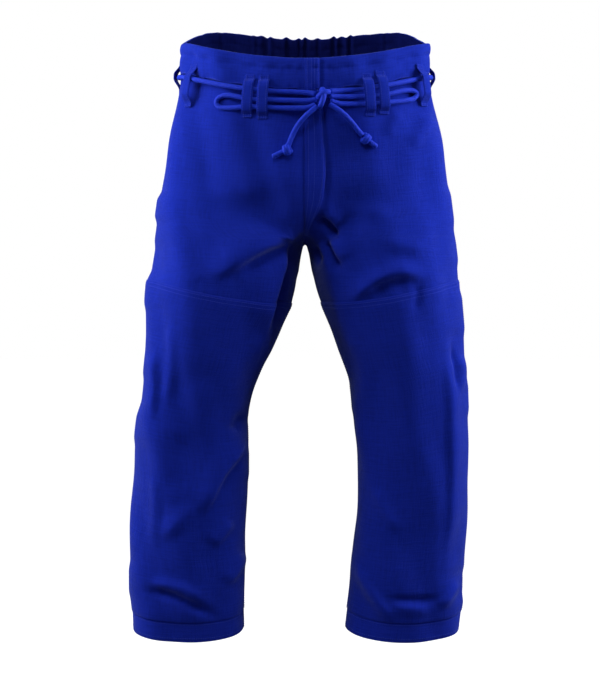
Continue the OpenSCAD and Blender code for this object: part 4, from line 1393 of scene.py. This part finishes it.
def seam_stitches():
    """Rows of stitches along the seams, the patches and the hems"""
    s = sizes()
    proud = THREAD_PROUD
    fine = np.linspace(0, 1, 200)
    for side_name, side in SIDES.items():
        upper, lower = [], []
        for face in (FRONT, BACK):
            for inset in (0.006, 0.012):
                start = inset / PANEL_WIDTH
                down = mix(band_edge(face, start) + 0.002, PANEL_SPLIT, fine)
                upper.append(surface(side, face, start, down, proud))
                if face == BACK:
                    down = mix(PANEL_SPLIT, hem_edge(face, start), fine)
                    lower.append(surface(side, face, start, down, proud))
        for inset in (0.004, 0.010):
            place = 1 - inset / PANEL_WIDTH
            down = mix(PANEL_SPLIT, hem_edge(BACK, place), fine)
            lower.append(surface(side, BACK, place, down, proud))
        on_patch = LAYER_GAP + s.patch_t + proud
        for inset in (0.0030, 0.0085):
            u = np.linspace(0.012, 0.988, 200)
            puff = PATCH_SWELL * ease(np.full_like(u, inset) / PATCH_SWELL_REACH)
            lower.append(surface(side, FRONT, u, patch_edge(u) + inset, on_patch + puff))
        patch_inset = 0.0045 / PATCH_WIDTH
        for place in (patch_inset, 1 - patch_inset):
            top, bottom = patch_edge(place) + 0.004, hem_edge(FRONT, place) - s.hem_h
            lower.append(surface(side, FRONT, place, mix(top, bottom, fine), on_patch + 0.0004))
        # seat seam
        for inset in (0.0045, 0.010):
            place = 1 - inset / SEAT_PANEL_WIDTH
            down = mix(band_edge(BACK, place) + 0.002, s.rise - 0.004, fine)
            upper.append(surface(side, BACK, place, down, proud))
        thigh = stitches(f"upper_seam_stitches_{side_name}", upper)
        follow_hip(thigh)
        shin = stitches(f"lower_seam_stitches_{side_name}", lower)
        follow_knee(shin)
        turned = []
        for face in (FRONT, BACK):
            u = np.linspace(0.004, 0.996, 200)
            turned.append(surface(side, face, u, hem_edge(face, u) - s.hem_h + 0.004, proud))
            turned.append(surface(side, face, u, hem_edge(face, u) - 0.006, proud))
        hem = stitches(f"hem_stitches_{side_name}", turned)
        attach(hem, f"shin_{side_name}")


def waist_stitches():
    """Rows of stitches on the waistband and the placket"""
    s = sizes()
    gap = LAYER_GAP
    lines = []
    for side in (LEFT, RIGHT):
        for face in (FRONT, BACK):
            u = np.linspace(0, 1, 300)
            for t in BAND_SEAMS:
                down = np.full_like(u, t * s.band_h)
                off = gap + s.band_t + band_puff(np.array([t]))[0] + THREAD_PROUD
                lines.append(band_point(side, face, u, down, np.full_like(u, off)))
    # three rows down the middle of the placket, over the waistband and below it
    t = np.linspace(0, 1, 200)
    top = s.front_dip + s.band_h + 0.0005
    drop = mix(top, s.rise - 0.014, t)
    reach = placket_reach(t)
    on_flap = gap + s.patch_t + 0.0006
    for share in (0.16, 0.46, 0.86):
        u = 1 - np.arcsin(reach * share / along(hip_rows(), drop, 1)) * 2 / np.pi
        lines.append(surface(LEFT, FRONT, u, drop, on_flap))
    down = np.linspace(0.002, s.band_h - 0.002, 80)
    off = gap + s.band_t + band_puff(down / s.band_h) + 0.0015
    for place in (0.003, 0.0095, 0.0145, 0.0195):
        u = np.full_like(down, 1 - place / (s.waist_w / 2) * 2 / np.pi)
        lines.append(band_point(LEFT, FRONT, u, down, off))
    sewn = stitches("waist_stitches", lines)
    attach(sewn, "hips")


# ---------------------------------------------------------------- stage


def area_light(name, place, aim, width, height, power):
    light = bpy.data.lights.new(name, "AREA")
    light.shape = "RECTANGLE"
    light.size = width
    light.size_y = height
    light.energy = power
    lamp = bpy.data.objects.new(name, light)
    lamp.location = place
    lamp.rotation_euler = direction_to(place, aim)
    collection().objects.link(lamp)


def direction_to(place, aim):
    """Euler turn that points an object's -Z from a place to another"""
    return (Vector(aim) - Vector(place)).to_track_quat("-Z", "Y").to_euler()


def floor_material():
    """A pale floor that a soft shadow still falls on"""
    material, tree, shader = new_material("studio_floor", finish().floor, 0.9)
    glow = node(tree, "ShaderNodeEmission", (0, -300))
    glow.inputs["Strength"].default_value = 1.0
    ray = node(tree, "ShaderNodeLightPath", (0, 300))
    none = node(tree, "ShaderNodeEmission", (0, -500))
    none.inputs["Strength"].default_value = 0
    seen = node(tree, "ShaderNodeMixShader", (250, -300))
    tree.links.new(ray.outputs["Is Camera Ray"], seen.inputs[0])
    tree.links.new(none.outputs[0], seen.inputs[1])
    tree.links.new(glow.outputs[0], seen.inputs[2])
    both = node(tree, "ShaderNodeAddShader", (450, 0))
    tree.links.new(shader.outputs[0], both.inputs[0])
    tree.links.new(seen.outputs[0], both.inputs[1])
    tree.links.new(both.outputs[0], tree.nodes["Material Output"].inputs["Surface"])
    return material


def stage():
    """Pale floor, soft light from both sides, and the camera in front of the trousers"""
    floor_height = -1.06
    size = 60
    verts = [(-size, -size, floor_height), (size, -size, floor_height), (size, size, floor_height),
             (-size, size, floor_height)]
    floor = make_mesh("studio_floor", verts, [(0, 1, 2, 3)], floor_material())
    world = bpy.data.worlds.new("studio")
    bpy.context.scene.world = world
    world.use_nodes = True
    tree = world.node_tree
    tree.nodes.clear()
    out = node(tree, "ShaderNodeOutputWorld", (400, 0))
    seen = node(tree, "ShaderNodeBackground", (0, 100))
    seen.inputs["Color"].default_value = (1, 1, 1, 1)
    seen.inputs["Strength"].default_value = 1.0
    around = node(tree, "ShaderNodeBackground", (0, -100))
    around.inputs["Color"].default_value = (1, 1, 1, 1)
    around.inputs["Strength"].default_value = 0.10
    ray = node(tree, "ShaderNodeLightPath", (0, 300))
    choose = node(tree, "ShaderNodeMixShader", (200, 0))
    tree.links.new(ray.outputs["Is Camera Ray"], choose.inputs[0])
    tree.links.new(around.outputs[0], choose.inputs[1])
    tree.links.new(seen.outputs[0], choose.inputs[2])
    tree.links.new(choose.outputs[0], out.inputs[0])
    area_light("side_light_right", (-1.5, -0.10, 0.20), (0, 0, -0.25), 1.0, 1.2, 46)
    area_light("side_light_left", (1.5, -0.10, 0.20), (0, 0, -0.25), 1.0, 1.2, 46)
    area_light("front_light", (-0.4, -2.4, 1.9), (0, 0, -0.15), 1.1, 1.1, 40)
    camera_data = bpy.data.cameras.new("camera")
    distance, field = 4.0, 1.08
    camera_data.sensor_width = 36
    camera_data.lens = camera_data.sensor_width * distance / field
    camera = bpy.data.objects.new("camera", camera_data)
    camera.location = (-0.008, -distance, -0.4976)
    camera.rotation_euler = (math.pi / 2, 0, 0)
    collection().objects.link(camera)
    bpy.context.scene.camera = camera
    bpy.context.scene.view_settings.view_transform = "Standard"


# ---------------------------------------------------------------- operators, panel and start


class TROUSERS_OT_stage(bpy.types.Operator):
    """Set up the floor, the light and the camera"""

    bl_idname = "trousers.stage"
    bl_label = "Studio"

    def execute(self, context):
        stage()
        return {"FINISHED"}


class TROUSERS_OT_drawstring(bpy.types.Operator):
    """Lay the rope round the waist and tie its bow"""

    bl_idname = "trousers.drawstring"
    bl_label = "Drawstring"

    def execute(self, context):
        drawstring()
        return {"FINISHED"}


class TROUSERS_OT_body_panels(bpy.types.Operator):
    """Hang the body cloth of the hips and the legs"""

    bl_idname = "trousers.body_panels"
    bl_label = "Body cloth"

    def execute(self, context):
        body_panels()
        return {"FINISHED"}


class TROUSERS_OT_knee_patches(bpy.types.Operator):
    """Sew the second layer on the knees"""

    bl_idname = "trousers.knee_patches"
    bl_label = "Knee patches"

    def execute(self, context):
        knee_patches()
        return {"FINISHED"}


class TROUSERS_OT_hems(bpy.types.Operator):
    """Turn in the hems"""

    bl_idname = "trousers.hems"
    bl_label = "Hems"

    def execute(self, context):
        hems()
        return {"FINISHED"}


class TROUSERS_OT_gusset(bpy.types.Operator):
    """Sew the gusset inside the crotch"""

    bl_idname = "trousers.gusset"
    bl_label = "Gusset"

    def execute(self, context):
        gusset()
        return {"FINISHED"}


class TROUSERS_OT_waistband(bpy.types.Operator):
    """Fold the waistband over the top edge and gather its back"""

    bl_idname = "trousers.waistband"
    bl_label = "Waistband"

    def execute(self, context):
        waistband()
        back_elastic()
        return {"FINISHED"}


class TROUSERS_OT_fly_placket(bpy.types.Operator):
    """Lay the placket over the front opening"""

    bl_idname = "trousers.fly_placket"
    bl_label = "Fly placket"

    def execute(self, context):
        fly_placket()
        return {"FINISHED"}


class TROUSERS_OT_belt_loops(bpy.types.Operator):
    """Sew the belt loops over the rope"""

    bl_idname = "trousers.belt_loops"
    bl_label = "Belt loops"

    def execute(self, context):
        belt_loops()
        return {"FINISHED"}


class TROUSERS_OT_stitching(bpy.types.Operator):
    """Stitch the seams, the patches, the placket, the waistband and the hems"""

    bl_idname = "trousers.stitching"
    bl_label = "Stitching"

    def execute(self, context):
        seam_stitches()
        waist_stitches()
        return {"FINISHED"}


STEPS = (
    TROUSERS_OT_stage, TROUSERS_OT_drawstring, TROUSERS_OT_body_panels, TROUSERS_OT_knee_patches,
    TROUSERS_OT_hems, TROUSERS_OT_gusset, TROUSERS_OT_waistband, TROUSERS_OT_fly_placket,
    TROUSERS_OT_belt_loops, TROUSERS_OT_stitching,
)


class TROUSERS_PT_sidebar(bpy.types.Panel):
    """Sizes, finish and the steps that build the trousers"""

    bl_idname = "TROUSERS_PT_sidebar"
    bl_label = "Training trousers"
    bl_space_type = "VIEW_3D"
    bl_region_type = "UI"
    bl_category = "Trousers"

    def draw(self, context):
        layout = self.layout
        for group in (context.scene.trouser_sizes, context.scene.trouser_finish):
            box = layout.box()
            for name in group.bl_rna.properties.keys():
                if name not in ("rna_type", "name"):
                    box.prop(group, name)
        for step in STEPS:
            layout.operator(step.bl_idname)


CLASSES = (TrouserSizes, TrouserFinish, *STEPS, TROUSERS_PT_sidebar)


def register():
    for cls in CLASSES:
        bpy.utils.register_class(cls)
    bpy.types.Scene.trouser_sizes = bpy.props.PointerProperty(type=TrouserSizes)
    bpy.types.Scene.trouser_finish = bpy.props.PointerProperty(type=TrouserFinish)


def unregister():
    del bpy.types.Scene.trouser_finish
    del bpy.types.Scene.trouser_sizes
    for cls in reversed(CLASSES):
        bpy.utils.unregister_class(cls)


def main():
    """Builds every piece in order"""
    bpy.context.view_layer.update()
    register()
    for step in STEPS:
        category, name = step.bl_idname.split(".")
        getattr(getattr(bpy.ops, category), name)()


if __name__ == "__main__":
    main()
